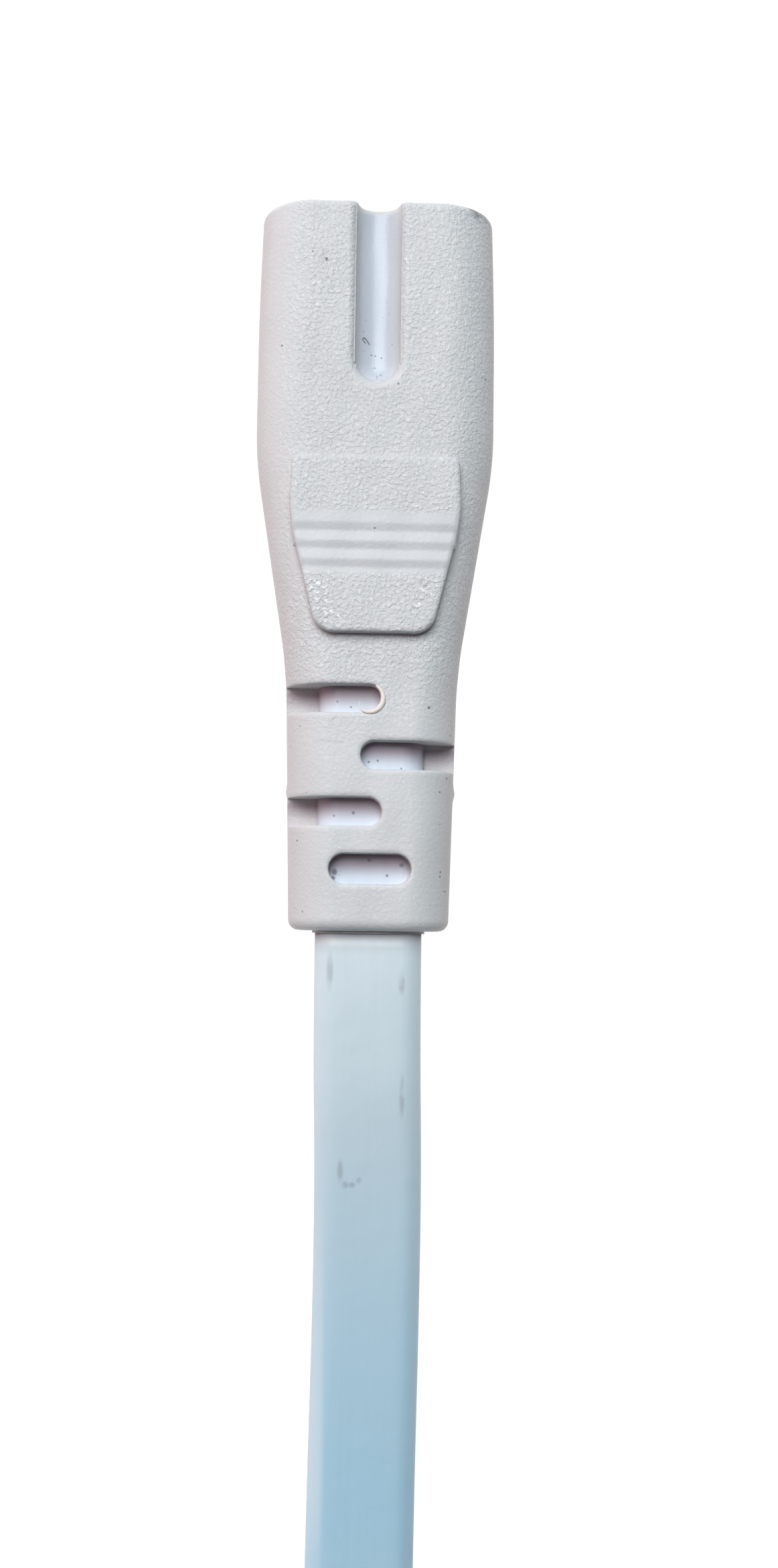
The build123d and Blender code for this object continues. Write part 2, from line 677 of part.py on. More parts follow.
lead = cord_tube("cord_lead", LEAD_ROUTE)
tail = cord_tube("cord_tail", TAIL_ROUTE)
save("cord_lead", lead)
save("cord_hank", hank())
save("cord_tail", tail)
save("hank_tie", hank_tie())

plug = plug_body()
for cutter in plug_slots():
    plug -= cutter
carrier = plug_carrier()
sheath = plug_block(PLUG_RELIEF_Y, PLUG_SHEATH_END_Y - PLUG_RELIEF_Y, CORD_WIDTH, CORD_THICKNESS, CORD_CORNER)
plug = plug - carrier - sheath
for name, side in (("left", -1), ("right", 1)):
    metal = blade(side)
    crimp_y = PLUG_FACE_Y - BLADE_ROOT - CRIMP_LENGTH
    wire = along(plug_core_path(side, crimp_y + CRIMP_LENGTH), Circle(CONDUCTOR_DIAMETER / 2))
    whole_core = along(plug_core_path(side, crimp_y), Circle(CORE_DIAMETER / 2))
    core = whole_core - wire
    carrier -= metal
    plug = plug - metal - wire - whole_core
    sheath -= whole_core
    save(f"plug_blade_{name}", metal)
    save(f"plug_core_{name}", core)
    save(f"plug_conductor_{name}", wire)
save("plug_overmould", plug)
save("plug_carrier", carrier)
save("cord_end_in_plug", sheath)
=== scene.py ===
from math import acos, cos, pi, radians, sin, sqrt

import bpy
import numpy as np
from mathutils import Matrix, Vector


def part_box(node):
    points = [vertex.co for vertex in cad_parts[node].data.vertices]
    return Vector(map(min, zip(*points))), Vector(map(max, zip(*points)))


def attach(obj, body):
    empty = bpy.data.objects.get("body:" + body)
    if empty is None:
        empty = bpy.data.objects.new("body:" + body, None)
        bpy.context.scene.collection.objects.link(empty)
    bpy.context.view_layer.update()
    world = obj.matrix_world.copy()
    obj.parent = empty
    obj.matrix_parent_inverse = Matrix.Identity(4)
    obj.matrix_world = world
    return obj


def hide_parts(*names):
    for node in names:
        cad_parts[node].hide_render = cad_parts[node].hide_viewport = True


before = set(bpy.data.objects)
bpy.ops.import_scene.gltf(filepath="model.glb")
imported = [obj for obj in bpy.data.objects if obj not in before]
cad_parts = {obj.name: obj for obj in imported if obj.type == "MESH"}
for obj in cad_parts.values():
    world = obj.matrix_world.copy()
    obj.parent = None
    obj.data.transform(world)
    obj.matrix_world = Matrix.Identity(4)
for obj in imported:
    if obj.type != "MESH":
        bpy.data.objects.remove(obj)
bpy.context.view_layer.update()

# View
# The photograph looks almost straight down on the connector, from a little towards its cord.
# The lens is a short one close to the object, so the image keeps a trace of perspective.
MM = 0.001
VIEW_FROM = Vector((-2.248, -23.258, 103.1)) * MM
VIEW_TO = Vector((1.414, -14.322, 0.0)) * MM
VIEW_ROLL = radians(-0.772)
VIEW_SENSOR, VIEW_LENS, VIEW_NEAREST = 36.0, 33.83, 5 * MM

camera_data = bpy.data.cameras.new("view")
camera_data.sensor_fit = "VERTICAL"
camera_data.sensor_height = VIEW_SENSOR
camera_data.lens = VIEW_LENS
camera_data.clip_start = VIEW_NEAREST
camera = bpy.data.objects.new("view", camera_data)
bpy.context.scene.collection.objects.link(camera)
back = (VIEW_FROM - VIEW_TO).normalized()
right = Vector((sin(VIEW_ROLL), cos(VIEW_ROLL), 0)).cross(back).normalized()
turn = Matrix((right, back.cross(right), back)).transposed()
camera.matrix_world = Matrix.Translation(VIEW_FROM) @ turn.to_4x4()
bpy.context.scene.camera = camera
bpy.context.scene.view_settings.view_transform = "Standard"

# Cord
# Flat two-core lead in white PVC, extruded in one piece. It leaves the strain relief flat, turns on edge
# just past the photograph and is put away in a dog-bone hank of four turns, tied at its waist.
CORD_WIDTH = 7.1 * MM
CORD_THICKNESS = 3.9 * MM
CORD_CORNER = 1.4 * MM
LEAD_POINTS = [
    (0.0, -24.55, 4.0), (0.0, -32.0, 4.0), (0.26, -40.5, 2.85),
    (0.24, -50.5, 2.0), (0.08, -60.5, 1.96), (0.0, -70.0, 2.0),
    (0.0, -79.0, 3.45), (0.0, -88.0, 3.6), (0.0, -96.0, 3.56),
]
TAIL_POINTS = [
    (-59.52, -96.0, 10.66), (-59.52, -87.0, 10.65), (-59.52, -77.5, 10.65), (-58.18, -69.2, 10.2),
    (-55.37, -61.3, 8.9), (-52.43, -53.4, 7.4), (-51.0, -45.1, 6.5), (-51.0, -37.0, 6.5),
]
HANK_CENTRE_X = -29.76 * MM
NEAR_FOLD_Y = -103.71 * MM
FOLD_RADIUS = 22.2 * MM
FLANK_RADIUS = 28.0 * MM
WAIST_HALF = 2.0 * MM
WAIST_LENGTH = 9.0 * MM
FOLD_MEET = acos((WAIST_HALF + FLANK_RADIUS) / (FOLD_RADIUS + FLANK_RADIUS))
HANK_TURNS = 4
HANK_SPREAD = 7.56 * MM
POINTS_PER_TURN = 40
CLIMB_SHARE = 0.2
CLIMB_DIP = 0.9 * MM
TIE_THICKNESS = 0.8 * MM
TIE_LIFT_REACH = 16.0 * MM
UNTWIST_FROM, UNTWIST_TO = -88.0 * MM, -50.0 * MM
TWIST_FROM, TWIST_TO = -67.0 * MM, -90.0 * MM
RING_STEP = 1.1 * MM
FLOOR_GAP = 0.01 * MM
CORNER_POINTS, FACE_POINTS = 7, 5
SPLINE_STEPS = 8
FINE_POINTS = 8001


def smoothstep(start, end, value):
    """Goes from 0 at start to 1 at end along three times the share squared less twice its cube."""
    share = np.clip((value - start) / (end - start), 0, 1)
    return share * share * (3 - 2 * share)


def arc_path(arcs, start, heading):
    """A flat path of arcs, each given by its length and its turn: the place is the heading summed up over
    fine steps. Gives its length and a function from distances to places and directions to its left."""
    reach = np.concatenate([[0], np.cumsum([length for length, _ in arcs])])
    swing = heading + np.concatenate([[0], np.cumsum([turned for _, turned in arcs])])
    fine = np.linspace(0, reach[-1], FINE_POINTS)
    middle = np.interp((fine[1:] + fine[:-1]) / 2, reach, swing)
    line = np.zeros((2, FINE_POINTS))
    line[:, 1:] = np.cumsum(fine[1] * np.stack([np.cos(middle), np.sin(middle)]), 1)

    def at(distance):
        place = np.stack([np.interp(distance, fine, axis) for axis in line], 1) + np.array(start)
        angle = np.interp(distance, reach, swing)
        return place, np.stack([-np.sin(angle), np.cos(angle)], 1)

    return reach[-1], at


def hank_points():
    """Control points of the turns: a lower layer winding inwards, a climb in the near fold, and an upper
    layer winding outwards over it, each turn one cord's thickness outside the last. The middle turn swings
    one way along the folds, back along the flanks and not at all in the waist."""
    flank = (FOLD_MEET * FLANK_RADIUS, FOLD_MEET)
    side = [flank, (WAIST_LENGTH, 0), flank]
    folds = [(FOLD_MEET, []), (pi + 2 * FOLD_MEET, side), (pi + FOLD_MEET, side)]
    arcs = [arc for swing, before in folds for arc in (*before, (swing * FOLD_RADIUS, -swing))]
    perimeter, middle_turn = arc_path(arcs, (HANK_CENTRE_X + FOLD_RADIUS, NEAR_FOLD_Y), -pi / 2)
    turns = HANK_TURNS - pi * FOLD_RADIUS / perimeter
    turn_number = np.linspace(0, turns, int(turns * POINTS_PER_TURN))
    place, outward = middle_turn(np.mod(turn_number * perimeter, perimeter))
    from_middle = np.abs(turn_number - turns / 2)
    dip = CLIMB_DIP * np.clip(1 - (from_middle / CLIMB_SHARE) ** 2, 0, 1) ** 2
    spread = HANK_SPREAD * from_middle / (turns / 2) - dip
    place = place + spread[:, None] * outward
    climb = smoothstep(-CLIMB_SHARE / 2, CLIMB_SHARE / 2, turn_number - turns / 2)
    waist_y = NEAR_FOLD_Y - (FOLD_RADIUS + FLANK_RADIUS) * sin(FOLD_MEET) - WAIST_LENGTH / 2
    lift = TIE_THICKNESS * np.exp(-(((place[:, 1] - waist_y) / TIE_LIFT_REACH) ** 4))
    height = CORD_WIDTH * (0.5 + climb) + lift + FLOOR_GAP
    return np.column_stack([place, height])


def spline_line(name, points, resolution):
    """Points read from one open NURBS spline that has the given control points."""
    curve = bpy.data.curves.new(name, "CURVE")
    curve.dimensions = "3D"
    spline = curve.splines.new("NURBS")
    spline.points.add(len(points) - 1)
    spline.points.foreach_set("co", np.column_stack([points, np.ones(len(points))]).ravel())
    spline.order_u = 3
    spline.use_endpoint_u = True
    spline.resolution_u = resolution
    holder = bpy.data.objects.new(name, curve)
    line = bpy.data.meshes.new_from_object(holder)
    found = np.zeros(len(line.vertices) * 3)
    line.vertices.foreach_get("co", found)
    bpy.data.objects.remove(holder)
    bpy.data.meshes.remove(line)
    return found.reshape(-1, 3)


def along_line(line, step):
    """The line again, with points a step apart along it, and each point's distance from its start."""
    reach = np.concatenate([[0], np.cumsum(np.linalg.norm(np.diff(line, axis=0), axis=1))])
    even = np.linspace(0, reach[-1], int(reach[-1] / step) + 1)
    return np.stack([np.interp(even, reach, axis) for axis in line.T], 1), even


def rounded_section(width, thickness, corner, per_corner, per_side):
    """Outline of a flat section: four quarter circles at its corners, with a few points on the
    broad faces between them. Gives places across and up, and the distance round the outline."""
    quarter = np.linspace(0, pi / 2, per_corner)
    parts = []
    for index, (side_x, side_z) in enumerate(((1, 1), (-1, 1), (-1, -1), (1, -1))):
        angle = quarter + index * pi / 2
        x = side_x * (width / 2 - corner) + corner * np.cos(angle)
        z = side_z * (thickness / 2 - corner) + corner * np.sin(angle)
        parts.append(np.stack([x, z], 1))
        if index % 2 == 0:
            share = np.linspace(0, 1, per_side + 2)[1:-1, None]
            following = np.array([-side_x * (width / 2 - corner), z[-1]])
            parts.append(parts[-1][-1] * (1 - share) + following * share)
    outline = np.concatenate(parts)
    closed = np.concatenate([outline, outline[:1]])
    return outline, np.concatenate([[0], np.cumsum(np.linalg.norm(np.diff(closed, axis=0), axis=1))])


def grid_mesh(name, places, uv=None):
    """A mesh from rows of points: quads between neighbours, each row closed on itself, and a fan from the
    first and from the last row to its middle."""
    rows, columns = places.shape[:2]
    index = np.arange(rows * columns).reshape(rows, columns)
    following = np.roll(index, -1, axis=1)
    quads = np.stack([index[:-1], index[1:], following[1:], following[:-1]], -1).reshape(-1, 4)
    points = np.concatenate([places.reshape(-1, 3), [places[0].mean(0), places[-1].mean(0)]])
    first_pole = np.full(columns, rows * columns)
    first_fan = np.stack([index[0], following[0], first_pole], 1)
    last_fan = np.stack([first_pole + 1, following[-1], index[-1]], 1)
    mesh = bpy.data.meshes.new(name)
    mesh.from_pydata(points.tolist(), [], quads.tolist() + first_fan.tolist() + last_fan.tolist())
    mesh.shade_smooth()
    if uv is not None:
        layer = mesh.uv_layers.new(name="UVMap")
        u, v = uv
        row_of, column_of = np.divmod(quads[:, 0], columns)
        corner_v = np.stack([v[row_of], v[row_of + 1], v[row_of + 1], v[row_of]], 1)
        corner_u = np.stack([u[column_of], u[column_of], u[column_of + 1], u[column_of + 1]], 1)
        quad_uv = np.stack([corner_u, corner_v], -1).reshape(-1, 2)
        fan_uv = np.zeros((3 * (len(first_fan) + len(last_fan)), 2))
        layer.data.foreach_set("uv", np.concatenate([quad_uv, fan_uv]).ravel())
    return mesh


def add_piece(name, mesh, *replaced, material, slot=None):
    """Put a finished mesh in the scene on the object's one body, standing for its CAD nodes."""
    piece = bpy.data.objects.new(name, mesh)
    bpy.context.scene.collection.objects.link(piece)
    mesh.materials.append(material)
    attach(piece, "root")
    if replaced:
        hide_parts(*replaced)
    return piece


class Value:
    """A socket of a material's nodes. Sums, differences and products of values add Math nodes."""

    def __init__(self, socket):
        self.socket = socket
        self.tree = socket.id_data

    def node(self, kind, settings=(), inputs=(), output=0):
        """Any node: its settings are set first, then the values or links of its sockets."""
        made = self.tree.nodes.new(kind)
        for name, value in dict(settings).items():
            setattr(made, name, value)
        for name, value in dict(inputs).items():
            if isinstance(value, Value):
                self.tree.links.new(value.socket, made.inputs[name])
            else:
                made.inputs[name].default_value = value
        return Value(made.outputs[output])

    def math(self, operation, *others):
        """A Math node on this value and others."""
        values = dict(enumerate((self, *others)))
        return self.node("ShaderNodeMath", {"operation": operation}, values)

    def __add__(self, other):
        return self.math("ADD", other)

    __radd__ = __add__

    def __mul__(self, other):
        return self.math("MULTIPLY", other)

    __rmul__ = __mul__

    def __sub__(self, other):
        return self.math("SUBTRACT", other)

    def __rsub__(self, other):
        return self.node("ShaderNodeMath", {"operation": "SUBTRACT"}, {0: other, 1: self})

    def step(self, start, end):
        """0 below start, 1 above end and smooth between."""
        inputs = {"Value": self, "From Min": start, "From Max": end}
        return self.node("ShaderNodeMapRange", {"interpolation_type": "SMOOTHSTEP"}, inputs)

    def mix(self, first, second):
        """The first colour where this value is 0, the second where it is 1."""
        first, second = (colour if isinstance(colour, Value) else (*colour, 1) for colour in (first, second))
        return self.node("ShaderNodeMix", {"data_type": "RGBA"}, {0: self, 6: first, 7: second}, output=2)

    def noise(self, scale, detail=3.0, roughness=0.5, distortion=0.0):
        """Noise at this place, of a scale in features per metre."""
        inputs = {"Scale": scale, "Detail": detail, "Roughness": roughness, "Distortion": distortion}
        return self.node("ShaderNodeTexNoise", {}, {"Vector": self, **inputs})

    def stretched(self, x, y, z):
        """This place with each axis multiplied."""
        return self.node("ShaderNodeMapping", {}, {"Vector": self, "Scale": (x, y, z)})

    def axis(self, letter):
        """One coordinate of this place."""
        return self.node("ShaderNodeSeparateXYZ", {}, {0: self}, output=letter)

    def band(self, start, end, soft):
        """1 between start and end, falling to 0 over a soft edge outside each."""
        return self.step(start - soft, start) * (1 - self.step(end, end + soft))

    def spots(self, places):
        """Soft round marks in the level plane, each given by its place and radius in millimetres and by how
        much a distance along the object counts. Where two meet, the stronger shows."""
        found = None
        for x, y, radius, stretch in places:
            level = self.stretched(1, stretch, 0)
            centre = (x * MM, y * stretch * MM, 0)
            ends = {0: level, 1: centre}
            away = level.node("ShaderNodeVectorMath", {"operation": "DISTANCE"}, ends, output=1)
            mark = 1 - away.step(0.3 * radius * MM, radius * MM)
            found = mark if found is None else found.math("MAXIMUM", mark)
        return found

    def specks(self, per_metre, share, radius):
        """Hard round specks, one in each of a share of the cells that space is divided into."""
        cells = {"Vector": self, "Scale": per_metre}
        away = self.node("ShaderNodeTexVoronoi", {}, cells)
        chance = self.node("ShaderNodeTexVoronoi", {}, cells, output="Color").axis("X")
        speck = 1 - away.step(0.5 * radius * per_metre, radius * per_metre)
        return speck * chance.step(1 - share, 1.001 - share)


def new_material(name, roughness=0.5, metallic=0.0, specular=0.5):
    """A material with one Principled shader. Gives it, the shader and the place on the object."""
    material = bpy.data.materials.new(name)
    material.use_nodes = True
    tree = material.node_tree
    shader = tree.nodes["Principled BSDF"]
    shader.inputs["Roughness"].default_value = roughness
    shader.inputs["Metallic"].default_value = metallic
    shader.inputs["Specular IOR Level"].default_value = specular
    coordinates = tree.nodes.new("ShaderNodeTexCoord")
    return material, shader, Value(coordinates.outputs["Object"])


def feed(shader, **values):
    """Link values to a shader's sockets, named in lower case with underscores."""
    for name, value in values.items():
        socket = shader.inputs[name.replace("_", " ").title()]
        value.tree.links.new(value.socket, socket)


def bump(*layers):
    """One normal from several heights, each given with its depth in metres."""
    normal = None
    for height, depth in layers:
        inputs = {"Height": height, "Distance": depth, "Strength": 1.0}
        if normal is not None:
            inputs["Normal"] = normal
        normal = height.node("ShaderNodeBump", {}, inputs)
    return normal


# Painted light and shade on the lead: the pale colour is the sheath where it is lit, and the blue one stands
# for it in bluish shade further from the connector.
SHEATH_PALE = (0.69, 0.79, 0.83)
SHEATH_SHADED_BLUE = (0.37, 0.61, 0.76)
SHEATH_SHADE = (0.45, 0.58, 0.66)
SOIL = (0.13, 0.12, 0.15)
# Colour of the painted shadow that the strain relief's end casts on the lead.
LIP_SHADOW = (0.36, 0.29, 0.29)
SHEATH_SOIL = [
    (-2.5, -27.2, 0.32, 0.2), (2.21, -27.9, 0.3, 0.3), (2.35, -35.3, 0.26, 0.15),
    (-1.62, -40.2, 0.28, 0.25), (-1.3, -41.1, 0.4, 1.2), (-0.85, -41.1, 0.34, 1.3), (-0.35, -40.8, 0.28, 1.0),
]
PALE_FROM, PALE_TO = -24.0 * MM, -62.0 * MM
EDGE_FROM, EDGE_TO, EDGE_SOFT = -3.9 * MM, -2.75 * MM, 0.5 * MM
EDGE_FADES_FROM, EDGE_FADES_TO = -60 * MM, -70 * MM
LIP_FROM, LIP_TO = -24.6 * MM, -26.4 * MM
DRAG_LINES = (1300, 40, 1300)
SPECK_RADIUS = 0.05 * MM


def sheath_finish(name, pale, shading_and_specks=None):
    """White PVC with faint lines drawn along it by the die, clouding, small smears and soiled marks. The lead
    has painted light and shade: it is paler near the connector and along one edge, bluer further away, and
    carries a painted shadow just past the relief."""
    material, shader, place = new_material(name)
    along = place if shading_and_specks else place.node("ShaderNodeTexCoord", output="UV")
    drag_lines = along.stretched(*DRAG_LINES).noise(1.0, detail=4.0, roughness=0.6)
    clouding = place.noise(160, detail=4.0, roughness=0.55)
    smears = place.stretched(1, 0.5, 1).noise(330, detail=6.0, roughness=0.6, distortion=0.8)
    marks = place.spots(SHEATH_SOIL) * place.noise(900).step(0.2, 0.55)
    fine_soil = place.specks(500, share=0.1, radius=SPECK_RADIUS)
    if shading_and_specks:
        colour = shading_and_specks(place, (clouding * 0.3).mix(pale, SHEATH_SHADE))
    else:
        x, y = place.axis("X"), place.axis("Y")
        # Painted light: the colour goes from the blue shade far away to the lit pale colour near the
        # connector, and is painted lighter along the lead's left edge.
        lit_edge = x.band(EDGE_FROM, EDGE_TO, EDGE_SOFT) * y.step(EDGE_FADES_TO, EDGE_FADES_FROM)
        tone = y.step(PALE_TO, PALE_FROM).math("MAXIMUM", lit_edge * 0.6)
        colour = (clouding * 0.5).mix(tone.mix(SHEATH_SHADED_BLUE, pale), SHEATH_SHADE)
        # Painted shadow of the strain relief's end, just past it.
        colour = (y.step(LIP_TO, LIP_FROM) * 0.45).mix(colour, LIP_SHADOW)
    soil = (smears.step(0.64, 0.78) * 0.12 + marks * 0.3 + fine_soil * 0.6).math("MINIMUM", 1.0)
    feed(
        shader,
        base_color=soil.mix(colour, SOIL),
        roughness=0.32 + 0.14 * drag_lines + 0.12 * clouding,
        normal=bump((drag_lines, 0.03 * MM), (place.noise(700), 0.03 * MM)),
    )
    return material


def cord_twist(line, reach):
    """Turn of the broad faces from flat: a quarter turn into the hank, and back before the plug."""
    outgoing = smoothstep(TWIST_FROM, TWIST_TO, line[:, 1])
    returning = 1 - smoothstep(UNTWIST_FROM, UNTWIST_TO, line[:, 1])
    near_start = reach < reach[-1] / 2
    return pi / 2 * np.where(near_start, outgoing, returning)


def line_directions(line):
    """Unit directions along a line and level across it, by a cross product with the upright."""
    tangent = np.gradient(line, axis=0)
    tangent /= np.linalg.norm(tangent, axis=1)[:, None]
    level = np.cross(tangent, (0, 0, 1))
    return tangent, level / np.linalg.norm(level, axis=1)[:, None]


def cord_surface(line, reach):
    """Flat section carried along the line, with its width turned out of the level by the twist."""
    tangent, level = line_directions(line)
    upright = np.cross(level, tangent)
    twist = cord_twist(line, reach)[:, None]
    across = np.cos(twist) * level + np.sin(twist) * upright
    up = np.cross(across, tangent)
    outline, around = rounded_section(CORD_WIDTH, CORD_THICKNESS, CORD_CORNER, CORNER_POINTS, FACE_POINTS)
    rings = line[:, None] + across[:, None] * outline[None, :, :1] + up[:, None] * outline[None, :, 1:]
    return rings, around


control_points = np.concatenate([np.array(LEAD_POINTS) * MM, hank_points(), np.array(TAIL_POINTS) * MM])
cord_line, cord_reach = along_line(spline_line("cord_line", control_points, SPLINE_STEPS), RING_STEP)
cord_rings, cord_around = cord_surface(cord_line, cord_reach)
cord_mesh = grid_mesh("cord", cord_rings, uv=(cord_around, cord_reach))
cord_nodes = ("cord_lead", "cord_hank", "cord_tail")
sheath_material = sheath_finish("cord_sheath", SHEATH_PALE)
cord = add_piece("cord", cord_mesh, *cord_nodes, material=sheath_material, slot="cord_sheath")

# Connector overmould
# Soft white PVC moulded in one shot over the carrier, the contacts and the cord's end. Both broad faces are
# alike, half a turn apart: keying groove, grip panel with saw-teeth, strain relief slots. Sizes are in mm.
AXIS_Z = 4.0
FRONT_Y, END_Y = 24.55, -24.55
HEAD_HALF, HEAD_BULGE, HEAD_HALF_THICKNESS, HEAD_LENGTH = 7.95, 0.2, 3.65, 17.1
HEAD_SWELL_SHARE = 0.6
TAPER_LENGTH, TAPER_EASE = 14.6, 0.15
RELIEF_HALF, RELIEF_END_HALF, RELIEF_HALF_THICKNESS = 5.8, 5.35, 3.1
FRONT_EDGE, END_EDGE, FRONT_EDGE_ROWS, END_EDGE_ROWS = 0.45, 0.7, 4, 5
GROOVE_HALF, GROOVE_DEPTH, GROOVE_SQUARENESS = 1.55, 1.6, 2.2
GROOVE_END_Y, GROOVE_SHOULDER, GROOVE_TINT_REACH = 12.0, 0.42, 1.1
PANEL_TOP_Y, PANEL_WIDEST_Y, PANEL_BASE_Y = 6.87, 2.6, -5.0
PANEL_TOP_HALF, PANEL_WIDEST_HALF, PANEL_BASE_HALF = 5.55, 5.68, 3.78
PANEL_HEIGHT, PANEL_EDGE, PANEL_TOP_CORNER, PANEL_BASE_CORNER, PANEL_BLEND = 3.92, 0.22, 0.5, 1.1, 0.13
TOOTH_CRESTS, TOOTH_PITCH, TOOTH_FALL = (2.25, 1.03, -0.19), 1.22, 0.55
TOOTH_RISE, TOOTH_DROP, TOOTH_SOFTNESS, TOOTH_SAMPLES = 0.03, 0.08, 0.11, 7
CREST_STARTS, CREST_FULL = 0.05, 0.4
SLOT_FIRST_Y, SLOT_PITCH, SLOT_HALF, SLOT_REACH = -9.28, 3.73, 0.95, 0.73
WINDOW_HALF, WINDOW_REACH, WINDOW_SHIFT = 1.0, 2.71, 0.02
SLOT_RIM, WEB_HALF, CORD_COVER = 0.15, 0.4, 0.05
HOLE_HALF_WIDTH, HOLE_HALF_HEIGHT, HOLE_SQUARENESS, HOLE_DEPTHS = 3.57, 1.97, 4, (0.4, 2.1)
COLLAR_SPREAD, COLLAR_DROP, LIP_DROP = (1.05, 1.0, 1.08), 0.16, 0.04
END_FACE_SHARES, FRONT_FACE_SHARES = (0.4, 0.8, 1.0), (0.35, 0.7, 0.95)
LOBE_RADIUS, LOBE_X, BRIDGE_HALF, SOCKET_HALF, SOCKET_DEPTHS = 2.5, 4.3, 1.3, 6.8, (LIP_DROP, 1.0, 13.2)
FLASH_Y, FLASH_HEIGHT, FLASH_RUN, FLASH_BAND = -15.3, 0.12, 0.45, 0.5
# Reach and strength of the painted shade along the panel's foot.
FOOT_REACH, FOOT_SHADE = 0.12, 0.2
DRIFT, SLOW_DRIFT, LOW_BAND = 0.02, 0.015, 0.9
SKIN_ROWS, ROW_SEARCH, ROW_CROWDING, CROWDING_REACH = 400, 4001, 1.6, 0.16
HALF_COLUMNS, SIDE_COLUMNS_SHARE, SIDE_REACH_SHARE = 60, 0.2, 0.41
FREE_X, SIDE_ANGLE = 6.2, radians(35)
SNAP_REACH, SNAP_GAP = 0.3, 0.012
SHARP_ANGLE = radians(42)


def body_half_sizes(y):
    """Half width and half thickness at y: a head that swells towards its middle along a sine, a straight
    taper eased in and out along a parabola, and a strain relief that narrows a little to its end."""
    along_head = np.clip((FRONT_Y - y) / (HEAD_SWELL_SHARE * HEAD_LENGTH), 0, 1)
    head = HEAD_HALF + HEAD_BULGE * np.sin(along_head * pi / 2)
    relief_y = FRONT_Y - HEAD_LENGTH - TAPER_LENGTH
    along_relief = np.clip((relief_y - y) / (relief_y - END_Y), 0, 1)
    relief = RELIEF_HALF + (RELIEF_END_HALF - RELIEF_HALF) * along_relief
    run = (FRONT_Y - HEAD_LENGTH - y) / TAPER_LENGTH
    start = np.clip(run + TAPER_EASE, 0, None) ** 2 / (4 * TAPER_EASE)
    end = 1 - np.clip(1 + TAPER_EASE - run, 0, None) ** 2 / (4 * TAPER_EASE)
    share = np.where(run < TAPER_EASE, start, np.where(run > 1 - TAPER_EASE, end, run))
    thickness = HEAD_HALF_THICKNESS + (RELIEF_HALF_THICKNESS - HEAD_HALF_THICKNESS) * share
    return head * (1 - share) + relief * share, thickness


def rounded_corner(first, second, radius):
    """Distance inside two edges that meet in a round corner: the nearer of the two, or the
    radius less the distance to the corner's centre."""
    corner = radius - np.hypot(radius - first, radius - second)
    return np.where((first < radius) & (second < radius), corner, np.minimum(first, second))


def inside_panel(x, y):
    """Distance inside the grip panel's shield outline: the nearer of its upper and lower edges, a little
    less where the two are as near, which rounds the corner between them."""
    x = np.abs(x)
    upper_slope = (PANEL_WIDEST_HALF - PANEL_TOP_HALF) / (PANEL_TOP_Y - PANEL_WIDEST_Y)
    lower_slope = (PANEL_WIDEST_HALF - PANEL_BASE_HALF) / (PANEL_WIDEST_Y - PANEL_BASE_Y)
    upper = PANEL_WIDEST_HALF - upper_slope * (y - PANEL_WIDEST_Y) - x
    lower = (PANEL_WIDEST_HALF + lower_slope * (y - PANEL_WIDEST_Y) - x) / sqrt(1 + lower_slope**2)
    top = rounded_corner(upper, PANEL_TOP_Y - y, PANEL_TOP_CORNER)
    base = rounded_corner(lower, y - PANEL_BASE_Y, PANEL_BASE_CORNER)
    return np.minimum(top, base) - PANEL_BLEND * np.exp(-np.abs(top - base) / PANEL_BLEND)


def inside_groove(x, y):
    """Distance inside the keying groove's wall: half its width less the distance from its middle line."""
    return GROOVE_HALF - np.hypot(x, np.minimum(0, y - GROOVE_END_Y - GROOVE_HALF))


def inside_slots(x, y):
    """Distance inside the nearest strain relief slot, each a bar with a half-round end. The first three are
    open at the left, right and left side, and the last is a window with two such ends."""
    found = []
    for index, side in enumerate((-1, 1, -1)):
        from_end = np.clip(-side * x - (SLOT_REACH - SLOT_HALF), 0, None)
        found.append(SLOT_HALF - np.hypot(from_end, y - (SLOT_FIRST_Y - index * SLOT_PITCH)))
    from_ends = np.clip(np.abs(x) - (WINDOW_REACH - WINDOW_HALF), 0, None)
    found.append(WINDOW_HALF - np.hypot(from_ends, y - (SLOT_FIRST_Y - 3 * SLOT_PITCH) + WINDOW_SHIFT))
    return np.max(found, axis=0)


def snapped(x, y, inside):
    """Places moved square to an outline, so that those close to it lie just beside it and the wall there is
    one narrow strip of faces: their distance shrinks with the cube of its share of the reach."""
    nudge = 1e-4
    distance = inside(x, y)
    slope_x = (inside(x + nudge, y) - inside(x - nudge, y)) / (2 * nudge)
    slope_y = (inside(x, y + nudge) - inside(x, y - nudge)) / (2 * nudge)
    share = np.abs(distance) / SNAP_REACH
    beside = np.where(distance < 0, -1, 1) * (SNAP_GAP + (SNAP_REACH - SNAP_GAP) * share**3)
    shift = np.where(share < 1, beside - distance, 0)
    return x + shift * slope_x, y + shift * slope_y


def groove_floor(x, y):
    """How far the groove's floor lies over its lowest line: a trough nearly as round as half an ellipse."""
    from_middle = 1 - np.clip(inside_groove(x, y) / GROOVE_HALF, 0, 1)
    power = GROOVE_SQUARENESS
    return GROOVE_DEPTH * (1 - np.clip(1 - from_middle**power, 0, None) ** (1 / power))


def quarter_round(distance, radius):
    """How far a rounded edge lies below its face, at a distance in from the edge."""
    short = radius - np.clip(distance, 0, radius)
    return radius - np.sqrt(np.clip(radius**2 - short**2, 0, None))


